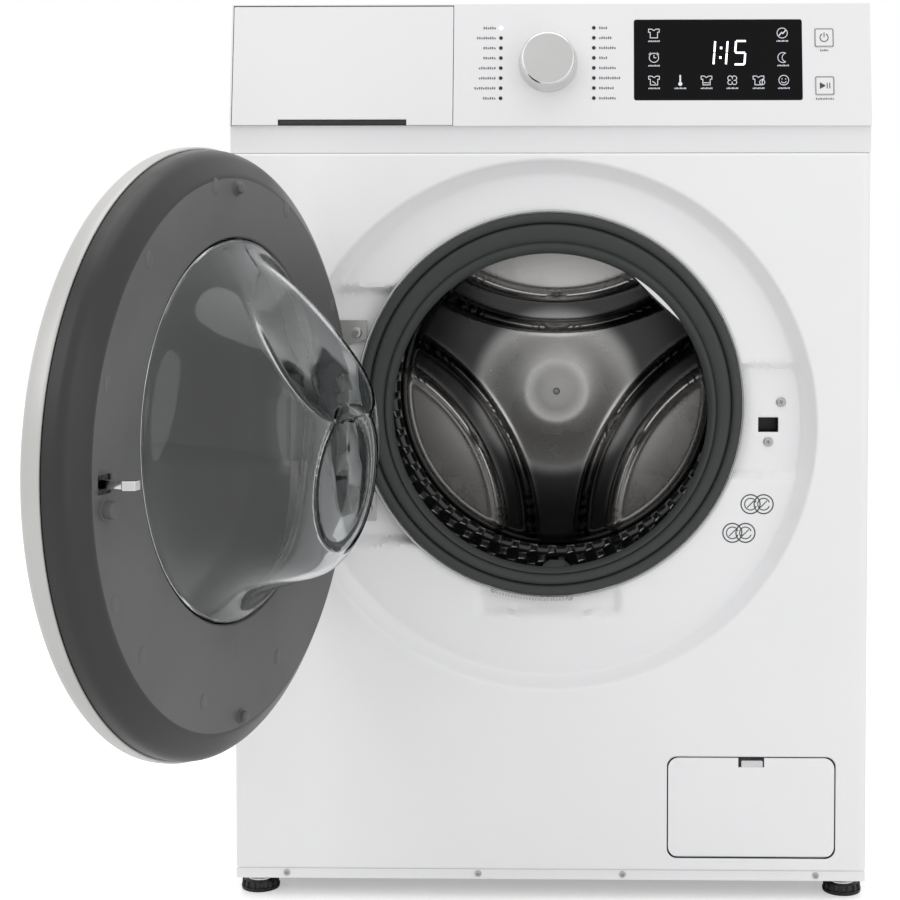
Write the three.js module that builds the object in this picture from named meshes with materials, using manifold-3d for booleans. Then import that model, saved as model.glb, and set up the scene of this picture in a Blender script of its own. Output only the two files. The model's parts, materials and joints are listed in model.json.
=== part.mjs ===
// A front-loading washing machine with its door standing open, in millimetres.
// X runs to the right, Y runs from the front face towards the back, Z runs up from the floor.
import * as THREE from 'three';
import { mergeVertices } from 'three/addons/utils/BufferGeometryUtils.js';
import Module from 'manifold-3d';

const wasm = await Module();
wasm.setup();

// ---------------------------------------------------------------- driving dimensions

const gap = 0.3; // between pieces that touch
const facets = 28; // round a large turned piece
const drumFacets = 32;
const cabinet = { width: 598, depth: 565, height: 845, clearance: 18, sheet: 1.2, corner: 9, fold: 14 };
const worktop = { thickness: 16, corner: 5 };
const console_ = { height: 115, lean: 19, depth: 40, wall: 2.5, bandHeight: 24.7, bandSetback: 5 };
const plinth = { height: 10, setback: 2 };
const doorRadius = 247; // the recess, gasket, bowl, drum's mouth and tub's neck all follow it
const recess = { height: 449, radius: doorRadius + 3.5, slope: 13, depth: 20, hingeDepth: 30, lockDepth: 26 };
const pocket = { hingeAbove: 128, hingeBelow: 112, lockAbove: 57, lockBelow: 47 };
const door = {
  radius: doorRadius, front: -39.5, back: 14, wall: 3, pivotInset: 30.5, pivotY: -18, openAngle: 106,
  flatRadius: doorRadius - 23.4, coverRadius: doorRadius - 57.3, bowlRadius: doorRadius - 92.5, bowlDepth: 131,
};
const gasket = { height: 468, radius: door.bowlRadius + 27.5, hole: door.bowlRadius + 21.5, lip: door.bowlRadius - 7,
  thickness: 3 };
const hinge = { height: 451, knuckle: 28, arm: 46, pin: 4, barrel: 7.5, edge: 6.5, earClearance: 13.9, earHeight: 18 };
const latch = { x: doorRadius - 40, width: 19, height: 14, hookLength: 26, hookThickness: 7 };
const drum = { height: 453.5, radius: 243, sheet: 1.2, mouth: door.bowlRadius + 3.5, front: 98, back: 406 };
const lifter = { base: 64, tip: 30, height: 42 };
const tub = { clearance: 11, wall: 4, neck: drum.mouth + 8, front: 88, seam: 238, rearGap: 24 };
const weight = { inner: tub.neck + 20, outer: drum.radius - 3, thickness: 36 };
const drive = {
  shaft: 15, pulley: 140, motorPulley: 11, motorX: -95, motorHeight: 140, motor: 45, belt: 4, beltWidth: 12,
};
const bearing = { radius: 31, wall: 7 };
const spring = { x: 180, radius: 11, y: 300 };
const damper = { x: 170, radius: 15, rod: 5, y: 300 };
const foot = { inset: 19, y: 30, pad: 18.6, stud: 5, boss: 12, length: 46 };
const drawer = { width: 206.5, front: 25, tray: 236, wall: 2, gripWidth: 120, gripHeight: 6 };
const display = { fromRight: 63.9, width: 156.4, height: 76.9, bottom: 24.2 };
const knob = { fromCentre: -1.5, height: 59.6, radius: 25.5, length: 20 };
const button = { size: 17.4, fromRight: 43.2, powerHeight: 83.5, startHeight: 37.6, travel: 1.5 };
const flap = { fromRight: 30.7, width: 156.4, bottom: 41, height: 95, corner: 10, thickness: 2.5 };
const pump = { cap: 32, wall: 2, depth: 110 };
const cover = { halfWidth: 178, below: 193, above: 183, flange: 19, depth: 9, corner: 20, overlap: 7 };
const board = { thickness: 1.6, behind: 14, keySize: 8, bottom: 14, top: 98 };

// ---------------------------------------------------------------- positions worked out from them

const half = cabinet.width / 2;
const top = cabinet.height;
const consoleBottom = top - console_.height;
const bandBottom = consoleBottom - console_.bandHeight;
const panelTop = bandBottom - gap;
const panelBottom = cabinet.clearance + plinth.height;
const tilt = Math.atan2(console_.lean, console_.height);
const rearPanelY = cabinet.depth - 19;
const pivotX = -(door.radius - door.pivotInset);
const seatRadius = gasket.radius + 0.5;
const floorRadius = recess.radius - recess.slope;
const tubRadius = drum.radius + tub.clearance;
const tubOuter = tubRadius + tub.wall;
const tubBack = drum.back + tub.rearGap;
const bossEnd = tubBack + 40;
const beltY = bossEnd + 10;
const flapX = half - flap.fromRight - flap.width / 2;
const flapZ = flap.bottom + flap.height / 2 - 3;
const hingeSlotZ = hinge.arm + 2;

// ---------------------------------------------------------------- solids

/** Turn a closed three.js geometry into a solid whose faces point out. */
function solidOf(geometry) {
  const plain = geometry.clone();
  for (const name of ['normal', 'uv']) plain.deleteAttribute(name);
  const merged = mergeVertices(plain, 1e-4);
  const points = merged.attributes.position;
  const corners = [];
  for (let i = 0; i < merged.index.count; i += 3) {
    const [a, b, c] = [0, 1, 2].map((k) => merged.index.getX(i + k));
    if (a !== b && b !== c && c !== a) corners.push([a, b, c]);
  }
  const [p, q, r] = [new THREE.Vector3(), new THREE.Vector3(), new THREE.Vector3()];
  let volume = 0;
  for (const [a, b, c] of corners) {
    p.fromBufferAttribute(points, a);
    volume += p.dot(q.fromBufferAttribute(points, b).cross(r.fromBufferAttribute(points, c)));
  }
  const facing = volume < 0 ? corners.map(([a, b, c]) => [a, c, b]) : corners;
  return new wasm.Manifold(new wasm.Mesh({
    numProp: 3,
    vertProperties: Float32Array.from(points.array),
    triVerts: Uint32Array.from(facing.flat()),
  }));
}

/** A box between two corners. */
function box(x0, x1, y0, y1, z0, z1) {
  const shape = new THREE.BoxGeometry(x1 - x0, y1 - y0, z1 - z0);
  return solidOf(shape.translate((x0 + x1) / 2, (y0 + y1) / 2, (z0 + z1) / 2));
}

/** A closed outline as a flat shape; the points are pairs. */
function outline(points) {
  return new THREE.Shape(points.map(([a, b]) => new THREE.Vector2(a, b)));
}

/** A rectangle with round corners. */
function roundedRectangle(x0, x1, y0, y1, radius) {
  const shape = new THREE.Shape();
  shape.moveTo(x0 + radius, y0);
  shape.lineTo(x1 - radius, y0);
  shape.absarc(x1 - radius, y0 + radius, radius, -Math.PI / 2, 0, false);
  shape.lineTo(x1, y1 - radius);
  shape.absarc(x1 - radius, y1 - radius, radius, 0, Math.PI / 2, false);
  shape.lineTo(x0 + radius, y1);
  shape.absarc(x0 + radius, y1 - radius, radius, Math.PI / 2, Math.PI, false);
  shape.lineTo(x0, y0 + radius);
  shape.absarc(x0 + radius, y0 + radius, radius, Math.PI, 1.5 * Math.PI, false);
  return shape;
}

/** A flat shape in X and Z, given its thickness along Y. */
function plate(shape, y0, y1) {
  const geometry = new THREE.ExtrudeGeometry(shape, { depth: y1 - y0, bevelEnabled: false, curveSegments: 3 });
  return solidOf(geometry.rotateX(Math.PI / 2).translate(0, y1, 0));
}

/** A plan outline in X and Y, raised along Z. */
function upright(shape, z0, z1) {
  const geometry = new THREE.ExtrudeGeometry(shape, { depth: z1 - z0, bevelEnabled: false, curveSegments: 3 });
  return solidOf(geometry.translate(0, 0, z0));
}

/** A side outline in Y and Z, drawn out along X. */
function drawn(points, x0, x1) {
  const geometry = new THREE.ExtrudeGeometry(outline(points), { depth: x1 - x0, bevelEnabled: false });
  const [toY, toZ, toX] = [[0, 1, 0], [0, 0, 1], [1, 0, 0]].map((v) => new THREE.Vector3(...v));
  geometry.applyMatrix4(new THREE.Matrix4().makeBasis(toY, toZ, toX));
  return solidOf(geometry.translate(x0, 0, 0));
}

/** A closed profile of [radius, y] pairs, turned about an axis along Y at height z. */
function turned(profile, z = 0, x = 0, segments = facets) {
  const points = [...profile, profile[0]].map(([r, y]) => new THREE.Vector2(r, y));
  return solidOf(new THREE.LatheGeometry(points, segments).translate(x, 0, z));
}

/** A round bar along Y. */
function bar(radius, y0, y1, x, z, segments = 24) {
  const shape = new THREE.CylinderGeometry(radius, radius, y1 - y0, segments);
  return solidOf(shape.translate(x, (y0 + y1) / 2, z));
}

/** A round post along Z. */
function post(radius, z0, z1, x, y, segments = 16) {
  const shape = new THREE.CylinderGeometry(radius, radius, z1 - z0, segments).rotateX(Math.PI / 2);
  return solidOf(shape.translate(x, y, (z0 + z1) / 2));
}

/** A round bar along X. */
function spindle(radius, x0, x1, y, z, segments = 14) {
  const shape = new THREE.CylinderGeometry(radius, radius, x1 - x0, segments).rotateZ(Math.PI / 2);
  return solidOf(shape.translate((x0 + x1) / 2, y, z));
}

/** The closed profile of a wall of even thickness along an open path of [radius, y] pairs. */
function wallProfile(path, thickness) {
  const side = (sign) => path.map(([r, y], i) => {
    const [r0, y0] = path[Math.max(i - 1, 0)];
    const [r1, y1] = path[Math.min(i + 1, path.length - 1)];
    const length = Math.hypot(r1 - r0, y1 - y0);
    return [r + (sign * (y1 - y0) * thickness) / 2 / length, y - (sign * (r1 - r0) * thickness) / 2 / length];
  });
  return [...side(1), ...side(-1).reverse()];
}

/** A flat shape carried along a smooth curve through the given points. */
function along(shape, points, steps) {
  const path = new THREE.CatmullRomCurve3(points.map((p) => new THREE.Vector3(...p)));
  const settings = { steps, extrudePath: path, curveSegments: 4, bevelEnabled: false };
  return solidOf(new THREE.ExtrudeGeometry(shape, settings));
}

/** A hollow hose through the given points. */
function hose(points, radius, wall, steps) {
  const ring = new THREE.Shape().absarc(0, 0, radius, 0, 2 * Math.PI, false);
  ring.holes.push(new THREE.Path().absarc(0, 0, radius - wall, 0, 2 * Math.PI, true));
  return along(ring, points, steps);
}

/** Join any number of solids. */
function join(...solids) {
  return solids.reduce((whole, next) => whole.add(next));
}

/** Cut any number of solids away from a first one. */
function cut(solid, ...tools) {
  return tools.reduce((rest, tool) => rest.subtract(tool), solid);
}

/** Move a solid from the sloping front of the console into the upright frame. */
function ontoConsole(solid) {
  return solid.rotate([-THREE.MathUtils.radToDeg(tilt), 0, 0]).translate([0, 0, consoleBottom]);
}

const finishes = {
  paint: ['#eeeef0', 0.35, 0.1],
  whitePlastic: ['#e9e9ea', 0.45, 0],
  silverPlastic: ['#afaeac', 0.35, 0.4],
  greyPlastic: ['#5c5d5f', 0.55, 0],
  paleGrey: ['#d6d6d8', 0.5, 0],
  blackPlastic: ['#161616', 0.5, 0],
  blackGlass: ['#0c0c0e', 0.08, 0],
  glass: ['#9aa0a2', 0.05, 0],
  rubber: ['#3a3b3d', 0.75, 0],
  brushed: ['#c9c9c8', 0.3, 1],
  steel: ['#b9b9b7', 0.28, 1],
  zinc: ['#9a9b98', 0.45, 1],
  aluminium: ['#b4b5b5', 0.4, 1],
  iron: ['#4c4b49', 0.7, 0.6],
  board: ['#24563a', 0.6, 0],
};

/** A named mesh from a solid, in one of the finishes. */
function piece(name, solid, finish) {
  const { numProp, vertProperties, triVerts } = solid.getMesh();
  const geometry = new THREE.BufferGeometry();
  geometry.setAttribute('position', new THREE.Float32BufferAttribute(vertProperties, numProp));
  geometry.setIndex(new THREE.Uint32BufferAttribute(triVerts, 1));
  geometry.computeVertexNormals();
  const [color, roughness, metalness] = finishes[finish];
  const mesh = new THREE.Mesh(geometry, new THREE.MeshStandardMaterial({ color, roughness, metalness }));
  mesh.name = name;
  return mesh;
}

// ---------------------------------------------------------------- cabinet

/** The part of the front recess floor, on one side, that is sunk to a greater depth. */
function sunkenFloor(side, below, above, y0, y1, shrink) {
  const reach = recess.radius + 1;
  const strip = side < 0 ? [-reach, 0] : [0, reach];
  const band = box(strip[0], strip[1], y0, y1, recess.height - below + shrink, recess.height + above - shrink);
  const disc = bar(floorRadius - shrink, y0, y1, 0, recess.height, facets);
  return band.intersect(disc).subtract(bar(seatRadius + shrink, y0 - 1, y1 + 1, 0, gasket.height, facets));
}

/** The pressed front: folded edges, the round recess with its pockets, and the openings. */
function frontPanel() {
  const { sheet, fold, corner } = cabinet;
  const plan = (reach, y0, radius) => {
    const shape = new THREE.Shape();
    shape.moveTo(-reach, fold);
    shape.lineTo(-reach, y0 + radius);
    shape.absarc(-reach + radius, y0 + radius, radius, Math.PI, 1.5 * Math.PI, false);
    shape.lineTo(reach - radius, y0);
    shape.absarc(reach - radius, y0 + radius, radius, -Math.PI / 2, 0, false);
    shape.lineTo(reach, fold);
    return shape;
  };
  const skin = upright(plan(half, 0, corner), panelBottom, panelTop);
  const inside = upright(plan(half - sheet, sheet, corner - sheet), panelBottom + sheet, panelTop - sheet);
  const open = box(-half + sheet, half - sheet, fold - 0.5, fold + 1, panelBottom + sheet, panelTop - sheet);
  const slopePerDepth = recess.slope / recess.depth;
  const pan = turned([
    [0, 0.2], [recess.radius + sheet, 0.2], [floorRadius + sheet, recess.depth + sheet], [0, recess.depth + sheet],
  ], recess.height);
  const panHollow = turned([
    [0, -1], [recess.radius + slopePerDepth, -1], [floorRadius, recess.depth], [0, recess.depth],
  ], recess.height);
  const sunken = [[-1, pocket.hingeBelow, pocket.hingeAbove, recess.hingeDepth],
    [1, pocket.lockBelow, pocket.lockAbove, recess.lockDepth]];
  const pockets = sunken.map(([side, below, above, depth]) => (
    sunkenFloor(side, below, above, recess.depth - 1, depth + sheet, 0)));
  const pocketHollows = sunken.map(([side, below, above, depth]) => (
    sunkenFloor(side, below, above, recess.depth - 2, depth, sheet)));
  const lockSlot = box(latch.x - latch.width / 2, latch.x + latch.width / 2, 0, recess.lockDepth + 5,
    recess.height - latch.height / 2, recess.height + latch.height / 2);
  const flapHole = roundedRectangle(flapX - flap.width / 2 - 0.7, flapX + flap.width / 2 + 0.7,
    flap.bottom - 1.3, flap.bottom + flap.height + 0.7, flap.corner - 5);
  const shell = cut(skin, inside, open);
  return piece('front_panel', cut(join(shell, pan, ...pockets), panHollow, ...pocketHollows,
    bar(gasket.hole, 0, recess.hingeDepth + 5, 0, gasket.height, facets), lockSlot, plate(flapHole, -1, 5)), 'paint');
}

/** One side of the cabinet, folded at the front and back, with the bracket that holds a tub spring. */
function sidePanel(name, side) {
  const { sheet, fold, depth } = cabinet;
  const y0 = fold + gap;
  const points = [
    [half, y0], [half, depth], [half - 18, depth], [half - 18, depth - sheet], [half - sheet, depth - sheet],
    [half - sheet, y0 + sheet], [half - fold, y0 + sheet], [half - fold, y0],
  ].map(([x, y]) => [side * x, y]);
  const plan = outline(side > 0 ? points : points.reverse());
  const upper = top - worktop.thickness - gap;
  const sheetMetal = upright(plan, cabinet.clearance, upper);
  const consoleSpace = box(-half - 1, half + 1, -1, console_.depth + gap, panelTop + 0.2, upper + 1);
  const [inner, outer] = [spring.x - 12, half - sheet / 2];
  const bracket = side > 0 ? box(inner, outer, spring.y - 14, spring.y + 14, upper - 23, upper - 20)
    : box(-outer, -inner, spring.y - 14, spring.y + 14, upper - 23, upper - 20);
  return piece(name, join(cut(sheetMetal, consoleSpace), bracket), 'paint');
}

/** The back sheet, set in from the rear folds, with its service opening and pipe holes. */
function rearPanel() {
  const reach = half - cabinet.sheet - gap;
  const sheet = box(-reach, reach, rearPanelY, rearPanelY + cabinet.sheet, cabinet.clearance + 2.5,
    top - worktop.thickness - gap);
  const opening = coverOutline(cover.overlap, cover.corner);
  return piece('rear_panel', cut(sheet, plate(opening, rearPanelY - 1, rearPanelY + 3),
    bar(14, rearPanelY - 1, rearPanelY + 3, valveX(), valveZ(), 20),
    bar(9.5, rearPanelY - 1, rearPanelY + 3, -valveX(), valveZ(), 20),
    bar(11.5, rearPanelY - 1, rearPanelY + 3, drainX(), drainZ(), 20)), 'paint');
}

/** The outline of the service cover's dish, grown by an offset. */
function coverOutline(grow, corner) {
  const { halfWidth, below, above } = cover;
  return roundedRectangle(-halfWidth - grow, halfWidth + grow, drum.height - below - grow, drum.height + above + grow,
    corner);
}

/** The dished cover that closes the service opening. */
function rearCover() {
  const { sheet } = cabinet;
  const { depth, corner } = cover;
  const y0 = rearPanelY + sheet + gap;
  const dish = plate(coverOutline(0, corner), y0, y0 + depth);
  const flange = plate(coverOutline(cover.flange, corner + 4), y0, y0 + sheet);
  const hollow = plate(coverOutline(-sheet, corner - 1), y0 - 1, y0 + depth - sheet);
  return piece('rear_service_cover', cut(join(dish, flange), hollow), 'paint');
}

/** Plan positions of the four feet, front left first. */
function footPlaces() {
  const x = half - foot.inset;
  const rear = cabinet.depth - foot.y;
  return [['front_left', -x, foot.y], ['front_right', x, foot.y], ['rear_left', -x, rear], ['rear_right', x, rear]];
}

/** The bottom tray with its upturned walls, foot bosses and damper seats. */
function baseFrame() {
  const reach = half - cabinet.sheet - gap;
  const [y0, y1] = [cabinet.fold + cabinet.sheet + 2 * gap, rearPanelY - gap];
  const z0 = cabinet.clearance + 1.6;
  const outer = box(-reach, reach, y0, y1, z0, z0 + 16);
  const hollow = box(-reach + 3, reach - 3, y0 + 3, y1 - 3, z0 + 3, z0 + 20);
  const insideX = (x) => Math.sign(x) * Math.min(Math.abs(x), reach - foot.boss);
  const bosses = footPlaces().map(([, x, y]) => (
    post(foot.boss, z0, z0 + 16, insideX(x), Math.min(y, y1 - foot.boss))));
  const bores = footPlaces().map(([, x, y]) => post(foot.stud + gap, z0 - 1, z0 + 40, x, y));
  const seats = [-1, 1].map((side) => post(damper.radius + 6, z0, z0 + 12, side * damper.x, damper.y));
  const sockets = [-1, 1].map((side) => post(damper.radius + gap, z0 + 3, z0 + 20, side * damper.x, damper.y));
  return piece('base_frame', cut(join(cut(outer, hollow), ...bosses, ...seats), ...bores, ...sockets), 'zinc');
}

/** The folded strip under the front panel. */
function plinthStrip() {
  const reach = half - 1;
  const { clearance, fold } = cabinet;
  const y = plinth.setback;
  const upper = panelBottom - gap;
  const section = [[y, clearance], [fold, clearance], [fold, clearance + 1.2], [y + 1.2, clearance + 1.2],
    [y + 1.2, upper], [y, upper]];
  return piece('plinth_strip', drawn(section, -reach, reach), 'paint');
}

/** The worktop slab with eased corners. */
function worktopSlab() {
  const shape = roundedRectangle(-half, half, console_.depth + gap, cabinet.depth, worktop.corner);
  return piece('worktop', upright(shape, top - worktop.thickness, top), 'whitePlastic');
}

// ---------------------------------------------------------------- console

const displayX = half - display.fromRight - display.width / 2;
const displayZ = display.bottom + display.height / 2;
const buttonX = half - button.fromRight;
const drawerRight = -half + 2 + drawer.width;

/** The sloping control fascia with the set-back band below it and the frame round the drawer. */
function consoleFascia() {
  const { wall, depth, lean, bandSetback } = console_;
  const section = [[0, consoleBottom], [bandSetback, consoleBottom], [bandSetback, bandBottom], [depth, bandBottom],
    [depth, top], [lean, top]].reverse();
  const core = [[wall, consoleBottom + wall], [bandSetback + wall, consoleBottom + wall],
    [bandSetback + wall, bandBottom + wall], [depth + 1, bandBottom + wall], [depth + 1, top - wall],
    [lean + wall, top - wall]].reverse();
  const shell = cut(drawn(section, -half, half), drawn(core, -half + wall, half - wall));
  const mouth = drawn([[-1, consoleBottom + 0.2], [drawer.front + 1, consoleBottom + 0.2], [drawer.front + 1, top - 1],
    [-1, top - 1]].reverse(), -half + 1.4, drawerRight + 0.6);
  const frame = cut(box(-half + 1, drawerRight + 2, drawer.front + 1, drawer.front + 3, consoleBottom - 1, top - 1),
    box(...trayInside(), drawer.front, drawer.front + 5, ...trayHeight(2)));
  const window = plate(roundedRectangle(displayX - display.width / 2 - gap, displayX + display.width / 2 + gap,
    display.bottom - gap, display.bottom + display.height + gap, 2.3), -1, 5);
  const shaftHole = bar(3.6, -1, 6, knob.fromCentre, knob.height, 16);
  const keyHoles = [button.powerHeight, button.startHeight].map((z) => plate(
    roundedRectangle(buttonX - button.size / 2 - gap, buttonX + button.size / 2 + gap,
      z - button.size / 2 - gap, z + button.size / 2 + gap, 2.3), -1, 6));
  const holes = [window, shaftHole, ...keyHoles].map(ontoConsole);
  return piece('console_fascia', cut(join(cut(shell, mouth), frame), ...holes), 'whitePlastic');
}

/** Left and right of the space that the tray slides in. */
function trayInside() {
  return [-half + 8, drawerRight - 8];
}

/** Bottom and top of the space that the tray slides in, grown by a clearance. */
function trayHeight(grow) {
  return [consoleBottom + 12 - grow, top - worktop.thickness - 13 + grow];
}

/** The drawer front: a hollow block with a finger slot in its lower edge. */
function drawerFront() {
  const { wall, lean } = console_;
  const [z0, z1] = [consoleBottom + 0.6, top - 0.8 - wall / 2];
  const slope = lean / console_.height;
  const faceY = (z) => (z - consoleBottom) * slope;
  const block = drawn([[faceY(z0), z0], [drawer.front, z0], [drawer.front, z1], [faceY(z1), z1]].reverse(),
    -half + 2, drawerRight);
  const core = drawn([[faceY(z0 + wall) + wall, z0 + wall], [drawer.front + 1, z0 + wall],
    [drawer.front + 1, z1 - wall], [Math.min(faceY(z1 - wall) + wall, drawer.front), z1 - wall]].reverse(),
  -half + 2 + wall, drawerRight - wall);
  const middle = -half + 2 + drawer.width / 2;
  const slot = box(middle - drawer.gripWidth / 2, middle + drawer.gripWidth / 2, -1, drawer.front - 6,
    z0 - 1, z0 + drawer.gripHeight - 0.6);
  return piece('drawer_front', cut(block, core, slot), 'whitePlastic');
}

/** The detergent tray with three compartments. */
function drawerTray() {
  const [left, right] = trayInside();
  const [bottom, upper] = trayHeight(0);
  const [x0, x1] = [left + 2, right - 2];
  const [y0, y1] = [drawer.front + gap, drawer.front + drawer.tray];
  const { wall } = drawer;
  const third = (x1 - x0 - wall) / 3;
  const wells = [0, 1, 2].map((i) => box(x0 + wall + i * third, x0 + (i + 1) * third, y0 + 8, y1 - wall,
    bottom + wall + (i === 1 ? 6 : 0), upper + 1));
  return piece('drawer_tray', cut(box(x0, x1, y0, y1, bottom, upper), ...wells), 'paleGrey');
}

/** The box that the tray slides into, with the spout that feeds the tub. */
function dispenserHousing() {
  const [left, right] = trayInside();
  const [bottom, upper] = trayHeight(1.5);
  const [y0, y1] = [drawer.front + 3 + gap, drawer.front + drawer.tray + 22];
  const { wall } = drawer;
  const shell = cut(box(left - wall, right + wall, y0, y1, bottom - wall, upper + wall),
    box(left, right, y0 - 1, y1 - wall, bottom, upper));
  const spout = post(20, bottom - 36, bottom, spoutX(), spoutY());
  const bore = post(17, bottom - 37, bottom + 1, spoutX(), spoutY());
  return piece('dispenser_housing', cut(join(shell, spout), bore), 'paleGrey');
}

/** The plan position of the dispenser's spout. */
function spoutX() {
  return -Math.min(190, tubOuter - 50);
}

/** How far back the dispenser's spout stands. */
function spoutY() {
  return tub.seam + 22;
}

/** The console's small parts, built flat and then leaned back together. */
function consoleParts() {
  const leaning = new THREE.Group();
  leaning.rotation.x = -tilt;
  leaning.position.z = consoleBottom;
  const { width, height, bottom } = display;
  const window = plate(roundedRectangle(displayX - width / 2, displayX + width / 2, bottom, bottom + height, 2),
    -0.2, 2.8);
  const dial = turned([[0, -knob.length], [knob.radius - 2, -knob.length], [knob.radius, -knob.length + 2],
    [knob.radius, -2.4], [knob.radius + 2, -0.4], [3.3, -0.4], [3.3, 5.6], [0, 5.6]],
  knob.height, knob.fromCentre, 28);
  const key = (z) => plate(roundedRectangle(buttonX - button.size / 2, buttonX + button.size / 2,
    z - button.size / 2, z + button.size / 2, 2), -0.6, 4);
  const face = board.behind + 0.5;
  const reach = board.keySize / 2;
  const switches = [button.powerHeight, button.startHeight].map((z) => (
    box(buttonX - reach, buttonX + reach, 4 + button.travel + 0.5, face, z - reach, z + reach)));
  const circuit = join(
    box(knob.fromCentre - 40, buttonX + 12, board.behind, board.behind + board.thickness, board.bottom, board.top),
    bar(8, 6, face, knob.fromCentre, knob.height, 12),
    box(displayX - width / 2 + 8.2, displayX + width / 2 - 8.2, 3.2, face, bottom + 5.8, bottom + height - 11.1),
    ...switches);
  leaning.add(
    piece('display_window', window, 'blackGlass'),
    piece('program_knob', dial, 'brushed'),
    piece('power_button', key(button.powerHeight), 'whitePlastic'),
    piece('start_button', key(button.startHeight), 'whitePlastic'),
    piece('control_board', circuit, 'board'),
  );
  return leaning;
}

// ---------------------------------------------------------------- door

/** The outer ring that frames the door from the front. */
function doorRing() {
  const { radius, front, coverRadius, wall } = door;
  const rim = coverRadius + gap;
  return piece('door_ring', turned([
    [rim, front + 3.5], [radius - 13, front], [radius - 6, front + 1.5], [radius - 1.5, front + 6.5],
    [radius, front + 12.5], [radius, front + 24.5], [radius - 2, front + 27.8], [radius - wall, front + 27.8],
    [radius - wall, front + 12.5], [radius - 7, front + 6], [radius - 13, front + wall], [rim, front + 6.7],
  ], recess.height, 0, drumFacets), 'silverPlastic');
}

/** The smoked outer cover in the middle of the ring. */
function doorCover() {
  const { coverRadius, front } = door;
  return piece('door_cover', turned([
    [0, front + 9.5], [120, front + 8.5], [coverRadius - 10, front + 4.5], [coverRadius, front + 3.5],
    [coverRadius, front + 6.5], [coverRadius - 10, front + 7.5], [120, front + 11.5], [0, front + 12.5],
  ], recess.height, 0, drumFacets), 'blackGlass');
}

/** The inner frame, with the round opening for the bowl and the slots for hinge and hook. */
function doorInnerFrame() {
  const { back, flatRadius, radius, bowlRadius, front, wall } = door;
  const band = radius - wall;
  const disc = turned([
    [0, back], [flatRadius, back], [flatRadius + 12.5, back - 8.5], [band - 3, back - 10], [band, back - 22],
    [band, front + 28.1], [band - wall, front + 28.1], [band - wall, back - 21.5], [band - 6, back - 12.5],
    [flatRadius + 11.5, back - 11.3], [flatRadius - 1, back - wall], [0, back - wall],
  ], recess.height, 0, drumFacets);
  const opening = bar(bowlRadius + 0.6, back - 10, back + 5, 0, gasket.height, facets);
  const hingeSlot = box(-radius - 5, pivotX + 24.5, front + 20, back + 5, hinge.height - hingeSlotZ,
    hinge.height + hingeSlotZ);
  const hookSlot = box(latch.x - 11, latch.x + 7, back - 8, back + 5, recess.height - 7, recess.height + 7);
  return piece('door_inner_frame', cut(disc, opening, hingeSlot, hookSlot), 'greyPlastic');
}

/** The glass bowl that reaches into the drum, sliced by the slope that turns laundry back. */
function doorGlass() {
  const { back, bowlRadius, bowlDepth } = door;
  const wall = 4.5;
  const seat = back - door.wall - gap;
  const depthScale = (bowlDepth - back) / 117;
  const round = [[1, 0], [0.965, 12], [0.88, 40], [0.72, 76], [0.6, 94], [0.465, 106], [0.28, 114], [0, 117]];
  const outside = round.map(([r, y]) => [r * bowlRadius, back + y * depthScale]);
  const scale = (bowlRadius - wall) / bowlRadius;
  const inside = round.map(([r, y]) => [r * bowlRadius * scale, back + y * depthScale - wall]);
  const outerBowl = turned([[0, seat - 5.3], [bowlRadius, seat - 5.3], ...outside], gasket.height);
  const innerBowl = turned([[0, seat - 8], [bowlRadius * scale, seat - 8], ...inside], gasket.height);
  const slope = (lower) => drawn([[back + 6, gasket.height + bowlRadius - lower],
    [bowlDepth, gasket.height + 26 - lower], [bowlDepth + 60, gasket.height - 40 - lower],
    [bowlDepth + 60, gasket.height + bowlRadius + 60], [back + 6, gasket.height + bowlRadius + 60]],
  -bowlRadius - 5, bowlRadius + 5);
  const flange = turned([[bowlRadius - 6, seat - 5.3], [bowlRadius + 13, seat - 5.3], [bowlRadius + 13, seat],
    [bowlRadius - 6, seat]], gasket.height);
  const bowl = cut(outerBowl, slope(0));
  const hollow = cut(innerBowl, slope(wall * 1.4));
  return piece('door_glass', cut(join(bowl, flange), hollow), 'glass');
}

/** The door's half of the hinge: a barrel with its pin, and the leaf under the inner frame. */
function hingeLeaf() {
  const { height, knuckle, arm, pin, barrel } = hinge;
  const [x, y] = [pivotX, door.pivotY];
  const footX = x + 31;
  return piece('door_hinge_leaf', join(
    post(barrel, height - knuckle, height + knuckle, x, y),
    post(pin, height - arm, height + arm, x, y),
    box(x, footX + 8, y - 4, y, height - knuckle, height + knuckle),
    box(footX, footX + 8, y - 4, door.back - door.wall - gap, height - knuckle, height + knuckle),
  ), 'zinc');
}

/** The sprung hook that the lock catches. */
function doorHook() {
  const z0 = recess.height - latch.hookThickness / 2;
  const [root, tip] = [door.back - 28, door.back + latch.hookLength];
  const x = latch.x;
  const shape = outline([[x - 6, root], [x, root], [x, tip - 11], [x + 5, tip - 9], [x + 2, tip], [x - 6, tip]]);
  return piece('door_hook', upright(shape, z0, z0 + latch.hookThickness), 'brushed');
}

/** The whole door, swung open about its hinge pin. */
function openDoor() {
  const swing = new THREE.Group();
  swing.position.set(pivotX, door.pivotY, 0);
  swing.rotation.z = -THREE.MathUtils.degToRad(door.openAngle);
  const closed = new THREE.Group();
  closed.position.set(-pivotX, -door.pivotY, 0);
  closed.add(doorRing(), doorCover(), doorInnerFrame(), doorGlass(), hingeLeaf(), doorHook());
  swing.add(closed);
  return swing;
}

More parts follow.
